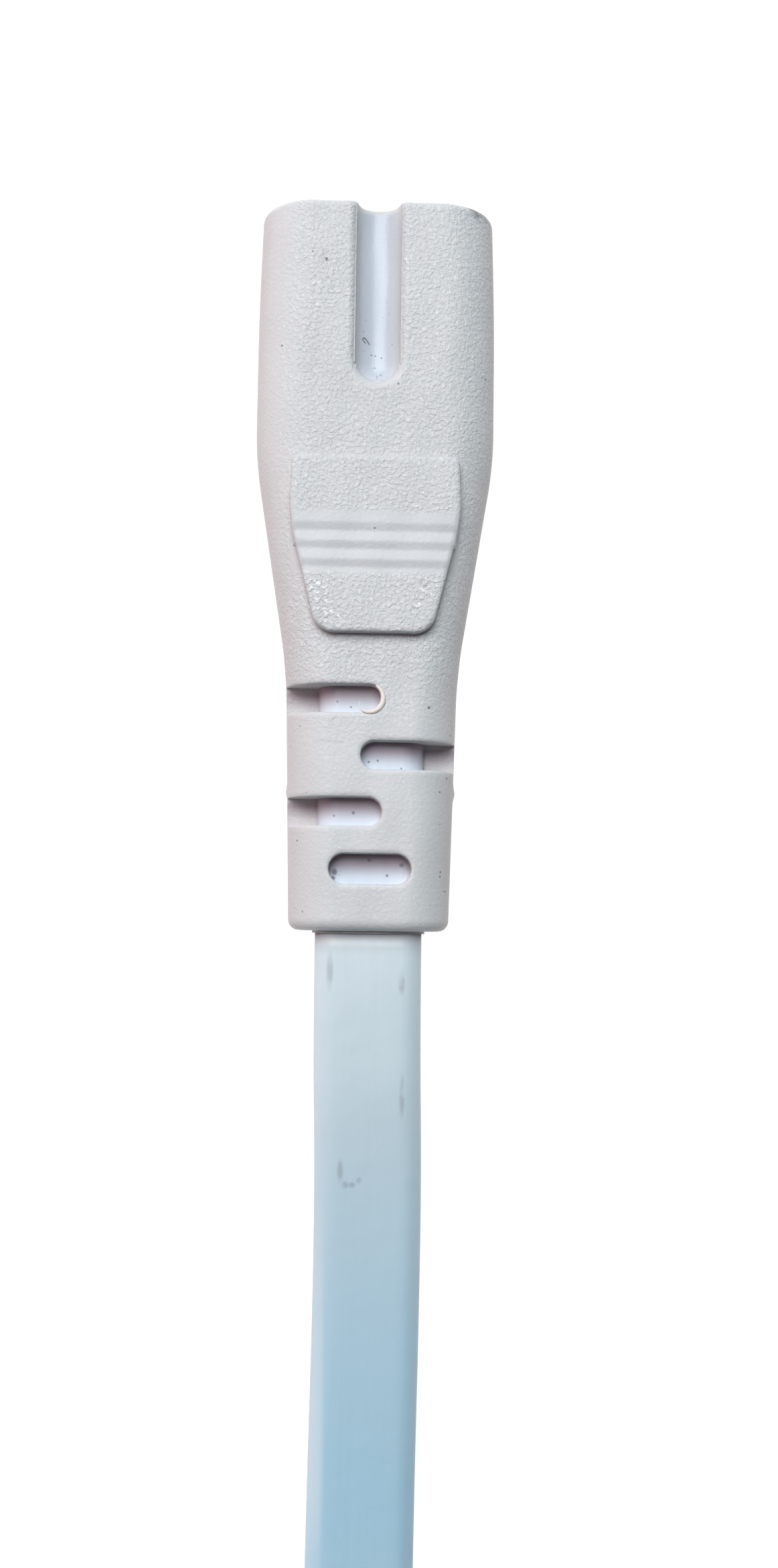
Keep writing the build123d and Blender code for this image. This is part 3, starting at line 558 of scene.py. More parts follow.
def tooth_height(y):
    """Saw-tooth line across the panel: a slow rise to each crest and a steep fall behind it, its
    corners softened by averaging over a short way."""
    rise = TOOTH_PITCH - TOOTH_FALL
    places, heights = [TOOTH_CRESTS[0] + rise], [0.0]
    for crest in TOOTH_CRESTS:
        places += [crest, crest - TOOTH_FALL]
        heights += [TOOTH_RISE, -TOOTH_DROP]
    places.append(TOOTH_CRESTS[-1] - TOOTH_FALL - rise)
    heights.append(0.0)
    offsets = np.linspace(-TOOTH_SOFTNESS, TOOTH_SOFTNESS, TOOTH_SAMPLES)
    return np.mean([np.interp(y + offset, places[::-1], heights[::-1]) for offset in offsets], axis=0)


def skin_height(x, y, height):
    """Height of one broad face over the axis: the body's, raised to the panel, cut by the groove and the
    slots, whose floor is the cord in the middle and the web at the sides."""
    panel = inside_panel(x, y)
    teeth = tooth_height(y)
    crest = np.maximum(teeth, 0) * smoothstep(CREST_STARTS, CREST_FULL, panel)
    crown = PANEL_HEIGHT + np.minimum(teeth, 0) + crest
    raised = crown - quarter_round(panel, PANEL_EDGE)
    height = np.where(panel > 0, np.maximum(height, raised), height)
    groove = inside_groove(x, y)
    floor = HEAD_HALF_THICKNESS - GROOVE_DEPTH + groove_floor(x, y)
    height = np.where(groove > 0, np.minimum(height, floor), height)
    height = height - np.where(groove <= 0, quarter_round(-groove, GROOVE_SHOULDER), 0)
    slot = inside_slots(x, y)
    edge = np.clip(np.abs(x) - (CORD_WIDTH - 2 * CORD_CORNER) / (2 * MM), 0, CORD_CORNER / MM)
    cord_top = (CORD_THICKNESS / 2 - CORD_CORNER) / MM + np.sqrt((CORD_CORNER / MM) ** 2 - edge**2)
    cord_top = cord_top - CORD_COVER
    on_cord = np.abs(x) < CORD_WIDTH / (2 * MM) - CORD_COVER
    bottom = np.where(on_cord, np.maximum(cord_top, WEB_HALF), WEB_HALF)
    height = np.where(slot > 0, np.minimum(height, bottom), height)
    on_rim = (slot <= 0) & (height > WEB_HALF + SLOT_RIM)
    return np.where(on_rim, height - quarter_round(-slot, SLOT_RIM), height)


def packed_rows():
    """Rows along the moulding, closer together at the edges that run across it."""
    slots = [SLOT_FIRST_Y - index * SLOT_PITCH + side * SLOT_HALF for index in range(4) for side in (-1, 1)]
    teeth = [crest - fall for crest in TOOTH_CRESTS for fall in (0, TOOTH_FALL)]
    edges = np.array([*slots, *teeth, PANEL_TOP_Y, PANEL_BASE_Y, PANEL_BASE_Y + 0.2])
    fine = np.linspace(END_Y + END_EDGE, FRONT_Y - FRONT_EDGE, ROW_SEARCH)
    near = np.exp(-(((fine[:, None] - edges) / CROWDING_REACH) ** 2))
    density = 1 + ROW_CROWDING * near.sum(1)
    reach = np.cumsum(density)
    return np.interp(np.linspace(reach[0], reach[-1], SKIN_ROWS), reach, fine)


def slot_share(y):
    """How far towards the mating end a place lies in its slot, from -1 to 1 across the slot."""
    nearest = np.clip(np.round((SLOT_FIRST_Y - y) / SLOT_PITCH), 0, 3)
    return np.clip((y - SLOT_FIRST_Y + nearest * SLOT_PITCH) / SLOT_HALF, -1, 1)


def face_half():
    """One broad face from its right side edge over to its left, as rows along the moulding: steps round a
    half-round side and over a flat, snapped to the outlines, then raised to the skin's height. The last two
    numbers at each place say how much painted shade it gets at the panel's foot or in a slot, and how far it
    lies in the groove."""
    y = packed_rows()[:, None]
    column_shares, reach_shares = (0, SIDE_COLUMNS_SHARE, 1), (0, SIDE_REACH_SHARE, 1)
    from_side = np.interp(np.linspace(0, 1, HALF_COLUMNS), column_shares, reach_shares)
    shares = np.concatenate([from_side, 2 - from_side[-2::-1]])[None]
    half_width, thickness = body_half_sizes(y)
    half_reach = thickness * pi / 2 + half_width - thickness
    reach = np.minimum(shares, 2 - shares) * half_reach
    side = np.where(shares <= 1, 1.0, -1.0)
    angle = np.minimum(reach / thickness, pi / 2)
    along_flat = np.clip(reach - thickness * pi / 2, 0, None)
    x = side * (half_width - thickness + thickness * np.cos(angle) - along_flat)
    y = np.broadcast_to(y, x.shape)
    for inside in (inside_panel, inside_groove, inside_slots):
        moved_x, moved_y = snapped(x, y, inside)
        x, y = np.where(np.abs(x) < FREE_X, moved_x, x), moved_y
    half_width, thickness = body_half_sizes(y)
    beyond = np.clip(np.abs(x) - (half_width - thickness), 0, thickness)
    on_side = (np.abs(x) > FREE_X) | (angle < SIDE_ANGLE)
    x = np.where(on_side, side * (half_width - thickness + thickness * np.cos(angle)), x)
    on_top = np.sqrt(np.clip(thickness**2 - beyond**2, 0, None))
    height = np.where(on_side, thickness * np.sin(angle), on_top)
    panel = inside_panel(x, y)
    # Painted shade: a dark line along the panel's foot, and shade in each slot towards its mating end.
    foot = np.exp(-((np.clip(-panel, 0, None) / FOOT_REACH) ** 2)) * (panel < 0.02)
    in_slot = smoothstep(0, 0.5, inside_slots(x, y)) * smoothstep(-0.7, 0.6, slot_share(y))
    recess_shade = np.maximum(FOOT_SHADE * foot, in_slot)
    # How far into the groove its painted bluish shade and reflection reach.
    trough = smoothstep(-0.05, GROOVE_TINT_REACH, inside_groove(x, y))
    low = np.exp(-((height / LOW_BAND) ** 2))
    flash = FLASH_HEIGHT * np.exp(-(((y - FLASH_Y) / FLASH_RUN) ** 2))
    flash = flash * np.exp(-((height / FLASH_BAND) ** 2)) * (side > 0)
    height = skin_height(x, y, height)
    drift = DRIFT * np.sin(1.1 * y + 0.7 * x) + SLOW_DRIFT * np.sin(0.63 * y - 1.9 * x + 1.3)
    return np.stack([x + flash, y, height + drift * (1 - low) * (height > 1), recess_shade, trough], -1)


def half_round_rows(outline, y, direction, radius, count):
    """Rows that carry an outline round an end edge: a quarter circle that draws it in from its full size
    while going on by the radius."""
    rows = []
    half_width, thickness = np.abs(outline[:, 0]).max(), np.abs(outline[:, 1]).max()
    for angle in np.linspace(0, pi / 2, count + 1)[1:]:
        inset = radius * (1 - cos(angle))
        drawn = outline * (1 - inset / np.array([half_width, thickness]))
        level = np.full(len(outline), y + direction * radius * sin(angle))
        rows.append(np.column_stack([drawn[:, 0], level, drawn[:, 1]]))
    return rows


def carrier_outline(x):
    """Upper edge of the carrier's figure of eight at x: two round lobes and the bridge between them."""
    lobe = np.sqrt(np.clip(LOBE_RADIUS**2 - (np.abs(x) - LOBE_X) ** 2, 0, None))
    return np.where(np.abs(x) < LOBE_X, np.maximum(lobe, BRIDGE_HALF), lobe)


def overmould_surface():
    """The two broad faces joined at the sides, closed at the mating end round the carrier and at the other
    round the cord, whose hole is an oval squared off by a power of its sine and cosine."""
    upper = face_half()
    lower = upper[:, 1:-1] * np.array([-1, 1, -1, 1, 1])
    skin, marks = np.split(np.concatenate([upper, lower], 1), [3], axis=2)
    sign = np.concatenate([np.ones(upper.shape[1]), -np.ones(lower.shape[1])])
    end_outline, front_outline = skin[0][:, [0, 2]], skin[-1][:, [0, 2]]
    end_rows = half_round_rows(end_outline, END_Y + END_EDGE, -1, END_EDGE, END_EDGE_ROWS)
    front_rows = half_round_rows(front_outline, FRONT_Y - FRONT_EDGE, 1, FRONT_EDGE, FRONT_EDGE_ROWS)
    angle = np.arctan2(end_outline[:, 1] / RELIEF_HALF_THICKNESS, end_outline[:, 0] / RELIEF_END_HALF)
    across, up, power = np.cos(angle), np.sin(angle), HOLE_SQUARENESS
    bulk = (np.abs(across) ** power + np.abs(up) ** power) ** (-1 / power)
    face = end_rows[-1]
    hole = np.column_stack([HOLE_HALF_WIDTH * bulk * across, face[:, 1], HOLE_HALF_HEIGHT * bulk * up])
    collar = hole * np.array(COLLAR_SPREAD)
    end_rows += [face + (collar - face) * share for share in END_FACE_SHARES]
    end_rows += [collar - np.array([0, drop, 0]) for drop in (LIP_DROP, COLLAR_DROP)]
    end_rows += [hole + np.array([0, depth, 0]) for depth in (-COLLAR_DROP, *HOLE_DEPTHS)]
    face = front_rows[-1]
    socket_x = np.clip(face[:, 0] * SOCKET_HALF / np.abs(face[:, 0]).max(), -SOCKET_HALF, SOCKET_HALF)
    socket = np.column_stack([socket_x, face[:, 1], sign * carrier_outline(socket_x)])
    front_rows += [face + (socket - face) * share for share in FRONT_FACE_SHARES]
    front_rows += [socket - np.array([0, depth, 0]) for depth in SOCKET_DEPTHS]
    rows = np.concatenate([np.stack(end_rows[::-1]), skin, np.stack(front_rows)])
    marks = np.pad(marks, ((len(end_rows), len(front_rows)), (0, 0), (0, 0)))
    return (rows + np.array([0, 0, AXIS_Z])) * MM, marks


overmould_rows, overmould_marks = overmould_surface()
overmould_mesh = grid_mesh("overmould", overmould_rows)
overmould_mesh.set_sharp_from_angle(angle=SHARP_ANGLE)
for mark_index, mark_name in enumerate(("recess_shade", "trough")):
    mark_layer = overmould_mesh.attributes.new(mark_name, "FLOAT", "POINT")
    mark_layer.data.foreach_set("value", np.pad(overmould_marks[..., mark_index].ravel(), (0, 2)))
MOULDED_WHITE = (0.64, 0.655, 0.665)
MOULDED_SHADE = (0.58, 0.60, 0.62)
# Colour of the painted glints.
MOULDED_GLINT = (0.90, 0.91, 0.92)
MOULDED_YELLOWED = (0.60, 0.58, 0.53)
# Colour of the painted shade on the sides.
SIDE_SHADE = (0.48, 0.40, 0.40)
# Colour of the painted bluish shade and reflection in the groove.
GROOVE_TINT = (0.49, 0.56, 0.65)
HANDLING_MARKS = [(6.85, 24.1, 0.8, 1.2), (6.3, 24.4, 0.5, 1.6)]
FAINT_MARKS = [(-3.75, 20.5, 0.5, 0.6), (-3.1, -12.15, 0.9, 5.0), (-2.2, -12.2, 0.6, 4.0)]
DARK_SPECKS = [
    (-4.46, 20.77, 0.1, 1.0), (-3.51, 20.24, 0.13, 0.7), (1.41, 11.79, 0.11, 1.0), (-6.41, 14.42, 0.1, 1.0),
    (3.74, -9.83, 0.14, 1.0), (7.35, 12.75, 0.09, 1.0), (-0.04, 1.9, 0.1, 1.0), (5.0, -21.9, 0.09, 1.0),
]
# Patches of coarse grain with painted glints, in the panel's lower corners.
GLINT_PATCHES = [
    (-3.75, -2.1, 0.9, 0.8), (-3.4, -3.0, 0.8, 1.0), (-3.2, -3.9, 0.9, 1.2), (-2.4, -3.9, 0.7, 1.0),
    (3.6, -2.0, 0.9, 0.8), (2.9, -3.0, 0.8, 1.0),
]
# Colour of the painted shade in the slots, also on the sheath there, and at the panel's foot.
RECESS_SHADE = (0.28, 0.205, 0.245)
MOULD_GRAIN, GRAIN_DEPTH = 3900, 0.13 * MM
COARSE_GRAIN, COARSE_DEPTH = 3300, 0.1 * MM
TEETH_ALONG, TEETH_ACROSS = (-0.9 * MM, 2.9 * MM, 0.3 * MM), (-5.6 * MM, 5.6 * MM, 0.1 * MM)
GROOVE_ACROSS, GROOVE_STARTS, GROOVE_FULL = (-1.5 * MM, 1.5 * MM, 0.2 * MM), 11 * MM, 12.6 * MM
GRAIN_FADES_FROM, GRAIN_FADES_TO = -5 * MM, -13 * MM
LEFT_SMOOTH_TO, LEFT_GRAINED_FROM = -7.2 * MM, -4.8 * MM
GROOVE_DUST_FROM, GROOVE_DUST_TO = 15 * MM, 19 * MM
SLOT_DUST_FROM, SLOT_DUST_TO = 2.4 * MM, 2.7 * MM
# The painted side shade is full this near the axis and gone this far from it.
SIDE_SHADE_FULL, SIDE_SHADE_NONE = 1.2 * MM, 3.1 * MM


def moulded_finish(name, worn_and_shaded):
    """White PVC with the fine grain of a spark-eroded mould, whose peaks get painted glints. The connector's
    own grain fades out towards the cord and is coarse and shiny, with painted glints, in the panel's lower
    corners. Its recesses hold dust. It has painted shade in the slots, at the panel's foot, on the teeth and
    along the sides, and a painted bluish shade and reflection in the groove."""
    material, shader, place = new_material(name)
    x, y, z = (place.axis(letter) for letter in "XYZ")
    over_axis = z - AXIS_Z * MM
    cloud = place.noise(140, detail=4.0, roughness=0.55)
    grain = place.noise(MOULD_GRAIN, roughness=0.6, distortion=0.4)
    coarse = place.noise(COARSE_GRAIN, detail=2.0, roughness=0.55, distortion=0.3)
    if worn_and_shaded:
        recess_shade, trough = (
            place.node("ShaderNodeAttribute", {"attribute_name": mark}, output="Fac")
            for mark in ("recess_shade", "trough")
        )
        toothed = y.band(*TEETH_ALONG) * x.band(*TEETH_ACROSS)
        grooved = x.band(*GROOVE_ACROSS) * y.step(GROOVE_STARTS, GROOVE_FULL)
        grained = (0.3 + 0.7 * y.step(GRAIN_FADES_TO, GRAIN_FADES_FROM)) * (1 - 0.8 * toothed)
        grained = grained * (1 - 0.85 * grooved) * (0.35 + 0.65 * x.step(LEFT_SMOOTH_TO, LEFT_GRAINED_FROM))
        patches = place.spots(GLINT_PATCHES)
        in_groove = trough * (1 - y.step(GROOVE_DUST_FROM, GROOVE_DUST_TO))
        in_slots = (1 - y.step(-8.2 * MM, -8.1 * MM)) * (1 - over_axis.step(SLOT_DUST_FROM, SLOT_DUST_TO))
        dust = place.specks(2600, share=0.55, radius=0.08 * MM) * in_groove
        dust = dust + place.specks(1500, share=0.5, radius=0.1 * MM) * in_slots
        dust = dust + place.specks(420, share=0.1, radius=SPECK_RADIUS)
        marks = place.spots(HANDLING_MARKS) * place.noise(1500).step(0.3, 0.55)
        soil = dust * 0.8 + marks * 0.65 + place.spots(DARK_SPECKS) * 0.85 + place.spots(FAINT_MARKS) * 0.12
        soil = (soil * over_axis.step(0.2 * MM, 1 * MM)).math("MINIMUM", 1.0)
        # Painted shade: besides the random clouding, the teeth are darkened.
        tone = cloud * 0.6 + toothed * 0.6
        # Painted shade on the sides, full near the axis height.
        side_shade = 0.35 - 0.35 * over_axis.math("ABSOLUTE").step(SIDE_SHADE_FULL, SIDE_SHADE_NONE)
    else:
        patches = recess_shade = trough = side_shade = x * 0
        grained = patches + 0.8
        tone = cloud * 0.6
        soil = place.specks(420, share=0.08, radius=SPECK_RADIUS) * 0.5
    # Painted glints on the grain's peaks and in the coarse patches.
    glints = grain.step(0.56, 0.68) * grained * 0.4 + coarse.step(0.54, 0.62) * patches
    yellowed = cloud.step(0.55, 0.75) * 0.15
    colour = glints.math("MINIMUM", 1.0).mix(tone.mix(MOULDED_WHITE, MOULDED_SHADE), MOULDED_GLINT)
    # Painted bluish shade and reflection in the groove.
    colour = (trough * 0.9).mix(yellowed.mix(colour, MOULDED_YELLOWED), GROOVE_TINT)
    # Painted shade at the panel's foot and in the slots, over the painted shade on the sides.
    colour = (recess_shade * 0.75).mix(side_shade.mix(colour, SIDE_SHADE), RECESS_SHADE)
    feed(
        shader,
        base_color=soil.mix(colour, SOIL),
        roughness=0.44 + 0.1 * cloud - 0.12 * glints - 0.15 * trough,
        normal=bump(
            ((grain - 0.5) * grained, GRAIN_DEPTH),
            ((coarse - 0.5) * (grained * 0.3 + patches), COARSE_DEPTH),
        ),
    )
    return material


moulded_material = moulded_finish("moulded_pvc", worn_and_shaded=True)
add_piece("overmould", overmould_mesh, "connector_overmould", material=moulded_material, slot="overmould")

# Flash and lint
# A sliver of flash was torn at the first slot's blind end when the moulding left its tool, and still curls
# round the edge. A short fibre lies in the dust of the keying groove.
FLASH_CENTRE = (SLOT_REACH - SLOT_HALF, SLOT_FIRST_Y)
FLASH_FROM, FLASH_TO, FLASH_POINTS = radians(62), radians(-160), 48
CURL_FROM, CURL_IN, CURL_DOWN = 0.78, 0.32, 0.15
FLASH_HALF_WIDTH, FLASH_HALF_HEIGHT, FLASH_LIFT = 0.16, 0.1, 0.02
FIBRE_PLACE, FIBRE_LENGTH, FIBRE_RADIUS, FIBRE_POINTS = (-0.8, 15.0), 1.1, 0.022, 30
TORN_CREAM, TORN_SHADE = (0.86, 0.80, 0.74), (0.70, 0.62, 0.58)
LINT_DARK, LINT_GREY = (0.04, 0.035, 0.05), (0.2, 0.18, 0.2)


def thin_tube(line, across, tall, sides=10):
    """An oval section carried along a line that lies nearly level: its width, across the line, and its
    height, upwards, may change along it."""
    level = line_directions(line)[1]
    angle = np.linspace(0, 2 * pi, sides, endpoint=False)
    sideways = (across[:, None] * np.cos(angle))[..., None] * level[:, None]
    upwards = (tall[:, None] * np.sin(angle))[..., None] * np.array([0, 0, 1])
    return (line[:, None] + sideways + upwards) * MM


def flash_line():
    """More than half a circle round the slot's blind end, whose last part curls inwards and down. Its
    section swells from both ends as a power of a sine."""
    share = np.linspace(0, 1, FLASH_POINTS)
    angle = FLASH_FROM + (FLASH_TO - FLASH_FROM) * share
    curl = np.clip(share - CURL_FROM, 0, None) / (1 - CURL_FROM)
    radius = SLOT_HALF - 0.02 - CURL_IN * curl**2
    x = FLASH_CENTRE[0] + radius * np.cos(angle)
    y = FLASH_CENTRE[1] + radius * np.sin(angle)
    z = AXIS_Z + RELIEF_HALF_THICKNESS + FLASH_LIFT - CURL_DOWN * curl
    swell = np.sin(pi * np.clip(share * 1.15, 0, 1)) ** 0.6
    across, tall = 0.03 + FLASH_HALF_WIDTH * swell * (1 - 0.3 * curl), 0.02 + FLASH_HALF_HEIGHT * swell
    return np.stack([x, y, z], 1), across, tall


def fibre_line():
    """A short hair bent into an open hook: its heading turns faster and faster and wavers by a sine."""
    share = np.linspace(0, 1, FIBRE_POINTS)
    heading = 1.7 - 4.2 * share**2 + 0.9 * np.sin(8 * share)
    step = FIBRE_LENGTH / len(share)
    x = FIBRE_PLACE[0] + np.cumsum(np.cos(heading)) * step
    y = FIBRE_PLACE[1] + np.cumsum(np.sin(heading)) * step
    z = AXIS_Z + HEAD_HALF_THICKNESS - GROOVE_DEPTH + groove_floor(x, y) + 0.02
    thickness = np.full(FIBRE_POINTS, FIBRE_RADIUS)
    return np.stack([x, y, z], 1), thickness, thickness


flash_material, flash_shader, flash_place = new_material("torn_flash", roughness=0.4)
flash_cloud = flash_place.noise(2600)
flash_colour = flash_cloud.mix(TORN_CREAM, TORN_SHADE)
feed(flash_shader, base_color=flash_colour, normal=bump((flash_cloud, 0.03 * MM)))
flash_mesh = grid_mesh("slot_flash", thin_tube(*flash_line()))
add_piece("slot_flash", flash_mesh, material=flash_material, slot="overmould")
fibre_material, fibre_shader, fibre_place = new_material("lint", roughness=0.8)
feed(fibre_shader, base_color=fibre_place.noise(9000, detail=2.0).mix(LINT_DARK, LINT_GREY))
fibre_mesh = grid_mesh("groove_fibre", thin_tube(*fibre_line(), sides=6))
add_piece("groove_fibre", fibre_mesh, material=fibre_material)

# Cord end
# The last stretch of PVC sheath, gripped inside the strain relief by the moulding and seen as the floor of
# its slots, where it has dark specks of dirt and a painted shadow under each slot's wall on the mating side.
# The plug holds such an end too.
# A little darker than the lead's pale colour: painted shade for the sheath seen deep in the slots.
END_WHITE = (0.64, 0.69, 0.77)
# The painted shadow is full this near each slot's wall on the mating side and gone this far from it.
SLOT_SHADOW_FULL, SLOT_SHADOW_NONE = 0.3 * MM, 1.8 * MM
SLOT_SPECKS = [
    (-1.13, -16.79, 0.16, 1.0), (2.1, -20.2, 0.2, 1.0), (-0.03, -19.9, 0.2, 1.2), (-2.4, -21.1, 0.2, 1.0),
    (-2.3, -20.7, 0.24, 0.8), (0.43, -13.3, 0.12, 1.0), (-0.16, -13.4, 0.12, 1.0), (2.0, -13.8, 0.1, 1.0),
    (1.15, -20.9, 0.12, 0.8), (-1.4, -9.75, 0.1, 1.0), (-2.3, -9.4, 0.1, 1.0), (-2.4, -17.0, 0.1, 1.0),
]


def dress(material, *nodes):
    """Give CAD pieces a finish in their own material slots."""
    for node in nodes:
        for material_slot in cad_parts[node].material_slots:
            material_slot.material = material


def slot_shadow_and_dirt(place, colour):
    """Painted shadow on the sheath in the slots, deepening towards the mating end of each, and dark specks of
    dirt.
    """
    from_edge = ((SLOT_FIRST_Y + SLOT_HALF) * MM - place.axis("Y")).math("FLOORED_MODULO", SLOT_PITCH * MM)
    # Painted shadow of the slot's wall on the mating side.
    shade = (1 - from_edge.step(SLOT_SHADOW_FULL, SLOT_SHADOW_NONE)) * 0.88
    return (place.spots(SLOT_SPECKS) * 0.8).mix(shade.mix(colour, RECESS_SHADE), SOIL)


dress(sheath_finish("sheath_end", END_WHITE, slot_shadow_and_dirt), "cord_end_in_connector", "cord_end_in_plug")

# Contact carrier
# Hard white block, moulded first, that holds both contacts. The overmould grips it, and only its face with
# the two pin entries shows. The plug's blades sit in a block of the same plastic.
CARRIER_WHITE = (0.66, 0.66, 0.62)
CARRIER_SHADE = (0.58, 0.57, 0.52)
carrier_material, carrier_shader, carrier_place = new_material("carrier_plastic")
carrier_cloud = carrier_place.noise(300, detail=4.0)
carrier_soil = carrier_place.specks(900, share=0.15, radius=SPECK_RADIUS) * 0.5
feed(
    carrier_shader,
    base_color=carrier_soil.mix(carrier_cloud.mix(CARRIER_WHITE, CARRIER_SHADE), SOIL),
    roughness=0.24 + 0.2 * carrier_cloud,
    normal=bump((carrier_place.noise(2200), 0.012 * MM)),
)
dress(carrier_material, "contact_carrier", "plug_carrier")

# Contacts and blades
# The contacts are rolled from brass strip, split and sprung, and pushed into the carrier. The plug's blades
# are nickel-plated brass, held in its own carrier.
BRASS_BRIGHT, BRASS_TARNISHED = (0.80, 0.60, 0.27), (0.52, 0.35, 0.15)
NICKEL_BRIGHT, NICKEL_TARNISHED = (0.72, 0.70, 0.66), (0.52, 0.49, 0.45)


def metal_finish(name, bright, tarnished, roughness, lines):
    """Rolled or drawn metal: fine lines the way it was worked, and a thin cloudy tarnish."""
    material, shader, place = new_material(name, metallic=1.0)
    rolling = place.stretched(*lines).noise(1.0, roughness=0.6)
    tarnish = place.noise(520, detail=4.0, roughness=0.6)
    feed(
        shader,
        base_color=tarnish.step(0.4, 0.75).mix(bright, tarnished),
        roughness=roughness + 0.16 * rolling + 0.14 * tarnish,
        normal=bump((rolling, 0.006 * MM)),
    )
    return material


brass = metal_finish("rolled_brass", BRASS_BRIGHT, BRASS_TARNISHED, 0.2, (9000, 700, 9000))
nickel = metal_finish("nickel_plate", NICKEL_BRIGHT, NICKEL_TARNISHED, 0.16, (600, 600, 9000))
dress(brass, "contact_left", "contact_right")
dress(nickel, "plug_blade_left", "plug_blade_right")

# Cores
# Fine copper strands under brown and blue PVC, extruded, spread from the cord's end to the crimps, which
# hold the bared strands.
BROWN, BROWN_SHADE = (0.16, 0.065, 0.03), (0.11, 0.045, 0.02)
BLUE, BLUE_SHADE = (0.035, 0.12, 0.36), (0.02, 0.08, 0.25)
COPPER_BRIGHT, COPPER_TARNISHED = (0.84, 0.42, 0.24), (0.50, 0.22, 0.12)


def core_finish(name, colour, shade):
    """Thin extruded insulation: satin, with faint lines along it."""
    material, shader, place = new_material(name)
    lines = place.stretched(4000, 300, 4000).noise(1.0)
    feed(
        shader,
        base_color=place.noise(500).mix(colour, shade),
        roughness=0.3 + 0.25 * lines,
        normal=bump((lines, 0.01 * MM)),
    )
    return material


dress(core_finish("brown_core", BROWN, BROWN_SHADE), "core_left", "plug_core_left")
dress(core_finish("blue_core", BLUE, BLUE_SHADE), "core_right", "plug_core_right")
copper = metal_finish("copper_strands", COPPER_BRIGHT, COPPER_TARNISHED, 0.25, (12000, 2600, 12000))
dress(copper, "conductor_left", "conductor_right", "plug_conductor_left", "plug_conductor_right")

# Hank tie
# White hook-and-loop strap wound once round the hank's waist. Its free end is pressed down over the start,
# and its cut edges are slightly furry.
TIE_WIDTH = 8.0 * MM
TIE_CORNER = 1.7 * MM
TIE_START, TIE_END, TIE_CLIMB = -6.2 * MM, 3.5 * MM, 1.6 * MM
TIE_SECTION = (TIE_WIDTH, TIE_THICKNESS, 0.36 * MM, 5, 11)
TIE_RINGS, TIE_WANDER = 240, 0.1 * MM
TIE_WHITE = (0.60, 0.61, 0.62)
TIE_SHADE = (0.40, 0.41, 0.43)


def tie_surface():
    """The strap's section carried once round the waist, on the middle line of its thickness: a rectangle
    with round corners, whose last stretch climbs one thickness onto its first. Its edges wander a little."""
    low, high = (np.array(corner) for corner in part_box("hank_tie"))
    middle_x, middle_y = (low[:2] + high[:2]) / 2
    half = (high[0] - low[0]) / 2 - TIE_THICKNESS / 2
    bottom, top = TIE_THICKNESS / 2, high[2] - 1.5 * TIE_THICKNESS
    straight_x, straight_z = half - TIE_CORNER, top - bottom - 2 * TIE_CORNER
    corner = (TIE_CORNER * pi / 2, -pi / 2)
    runs = (straight_x - TIE_START, straight_z, 2 * straight_x, straight_z)
    arcs = [arc for run in runs for arc in ((run, 0), corner)] + [(straight_x + TIE_END, 0)]
    reach, strap = arc_path(arcs, (middle_x + TIE_START, top), 0)
    along = np.linspace(0, reach, TIE_RINGS)
    place, outward = strap(along)
    climb_at = reach - (TIE_END - TIE_START)
    climb = TIE_THICKNESS * smoothstep(climb_at - TIE_CLIMB, climb_at + TIE_CLIMB / 4, along)
    place = place + climb[:, None] * outward
    outline, around = rounded_section(*TIE_SECTION)
    wander = TIE_WANDER * (np.sin(along * 410) + np.sin(along * 977 + 1.4)) * 0.5
    widths = outline[None, :, 0] + wander[:, None] * np.sign(outline[None, :, 0])
    widths = np.clip(widths, -TIE_WIDTH / 2, TIE_WIDTH / 2)
    rings_x = place[:, None, 0] + outward[:, None, 0] * outline[None, :, 1]
    rings_z = place[:, None, 1] + outward[:, None, 1] * outline[None, :, 1]
    return np.stack([rings_x, middle_y + widths, rings_z], -1)[:, ::-1], (around, along)


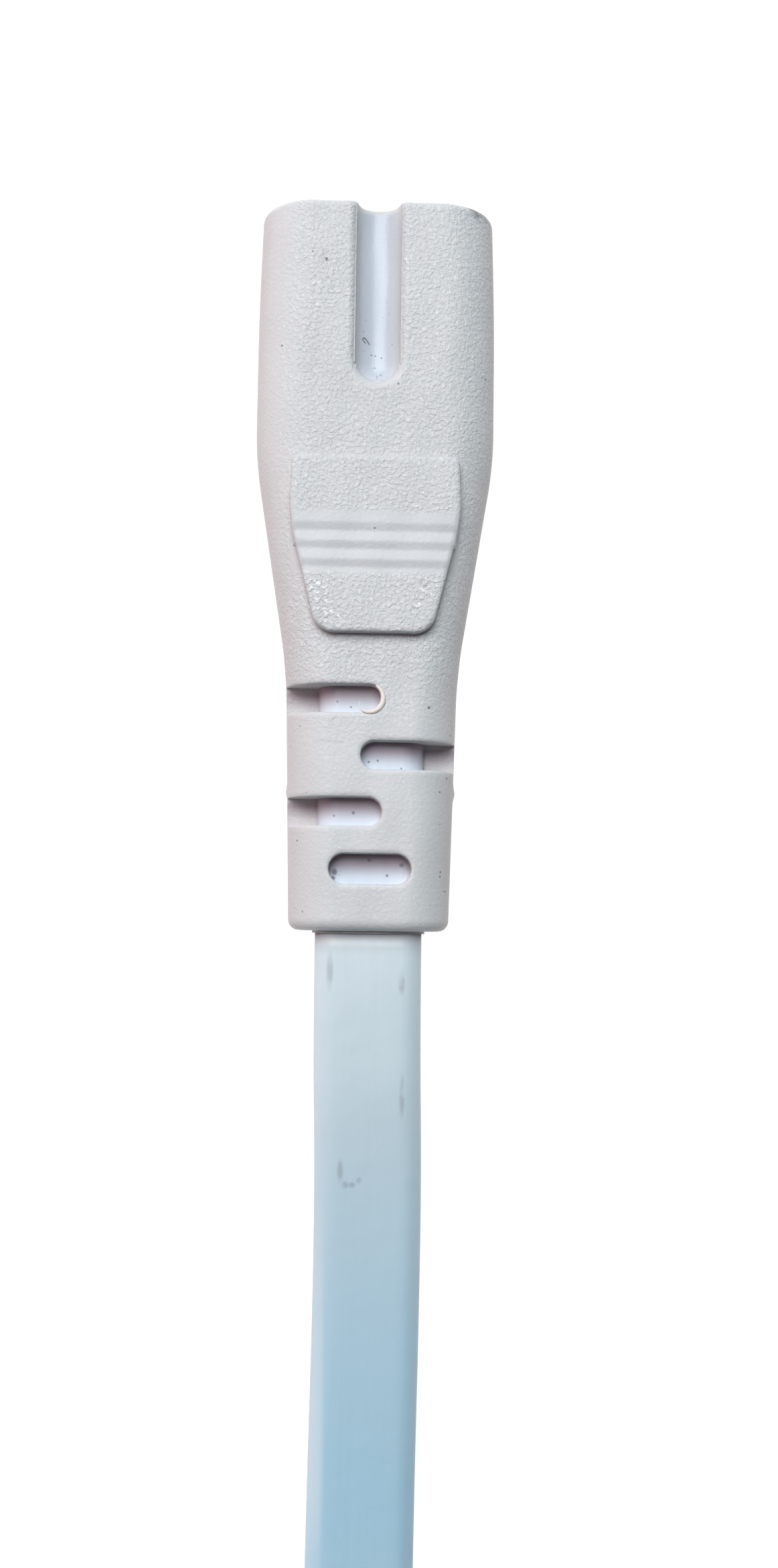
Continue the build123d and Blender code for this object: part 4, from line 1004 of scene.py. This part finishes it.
tie_rings, tie_uv_lines = tie_surface()
tie_material, tie_shader, tie_place = new_material("hook_and_loop", specular=0.2)
tie_uv = tie_place.node("ShaderNodeTexCoord", output="UV")
tie_loops = tie_uv.node("ShaderNodeTexVoronoi", {}, {"Vector": tie_uv, "Scale": 2600})
tie_knit = tie_uv.stretched(1, 0.35, 1).noise(3400, roughness=0.6, distortion=1.2)
feed(
    tie_shader,
    base_color=(tie_loops * 0.7 + tie_knit * 0.3).mix(TIE_WHITE, TIE_SHADE),
    roughness=0.8 + 0.2 * tie_knit,
    normal=bump((tie_loops, 0.09 * MM), (tie_knit, 0.12 * MM)),
)
tie_mesh = grid_mesh("hank_strap", tie_rings, uv=tie_uv_lines)
tie = add_piece("hank_strap", tie_mesh, "hank_tie", material=tie_material, slot="tie")

# Plug
# The far end's plug is moulded in the same white PVC round its blades' carrier, with a slotted strain relief
# of its own. It shows less wear, and its finish has none of the connector's painted shade.
dress(moulded_finish("plug_pvc", worn_and_shaded=False), "plug_overmould")

# Floor and lights
# The photograph's ground is clear white, so the floor glows. A large lamp beyond the mating end lights the
# faces, and a small reddish one warms the left side.
FLOOR_GREY, FLOOR_GLOW = (0.15, 0.15, 0.15, 1), 0.97
ROOM_COLOUR, ROOM_STRENGTH = (0.88, 0.93, 1.0, 1), 0.06
floor_mesh = bpy.data.meshes.new("floor")
floor_mesh.from_pydata([(-3, -3, 0), (3, -3, 0), (3, 3, 0), (-3, 3, 0)], [], [(0, 1, 2, 3)])
floor = bpy.data.objects.new("floor", floor_mesh)
bpy.context.scene.collection.objects.link(floor)
floor_material, floor_shader, _ = new_material("floor", roughness=0.9, specular=0.1)
floor_shader.inputs["Base Color"].default_value = FLOOR_GREY
floor_shader.inputs["Emission Color"].default_value = (1, 1, 1, 1)
floor_shader.inputs["Emission Strength"].default_value = FLOOR_GLOW
floor_mesh.materials.append(floor_material)


def soft_light(name, place, size, power, colour):
    """A rectangular lamp that faces the connector's middle."""
    data = bpy.data.lights.new(name, "AREA")
    data.shape = "RECTANGLE"
    data.size, data.size_y = size
    data.energy = power
    data.color = colour
    lamp = bpy.data.objects.new(name, data)
    bpy.context.scene.collection.objects.link(lamp)
    lamp.location = place
    lamp.rotation_euler = Vector(place).to_track_quat("Z", "Y").to_euler()


soft_light("top_light", (-0.09, 0.26, 0.47), size=(0.42, 0.4), power=3.78, colour=(0.935, 0.98, 1.0))
soft_light("left_light", (-0.34, 0.05, 0.16), size=(0.2, 0.2), power=0.26, colour=(1, 0.40, 0.32))
world = bpy.data.worlds.new("room")
bpy.context.scene.world = world
world.use_nodes = True
background = world.node_tree.nodes["Background"]
background.inputs["Color"].default_value = ROOM_COLOUR
background.inputs["Strength"].default_value = ROOM_STRENGTH
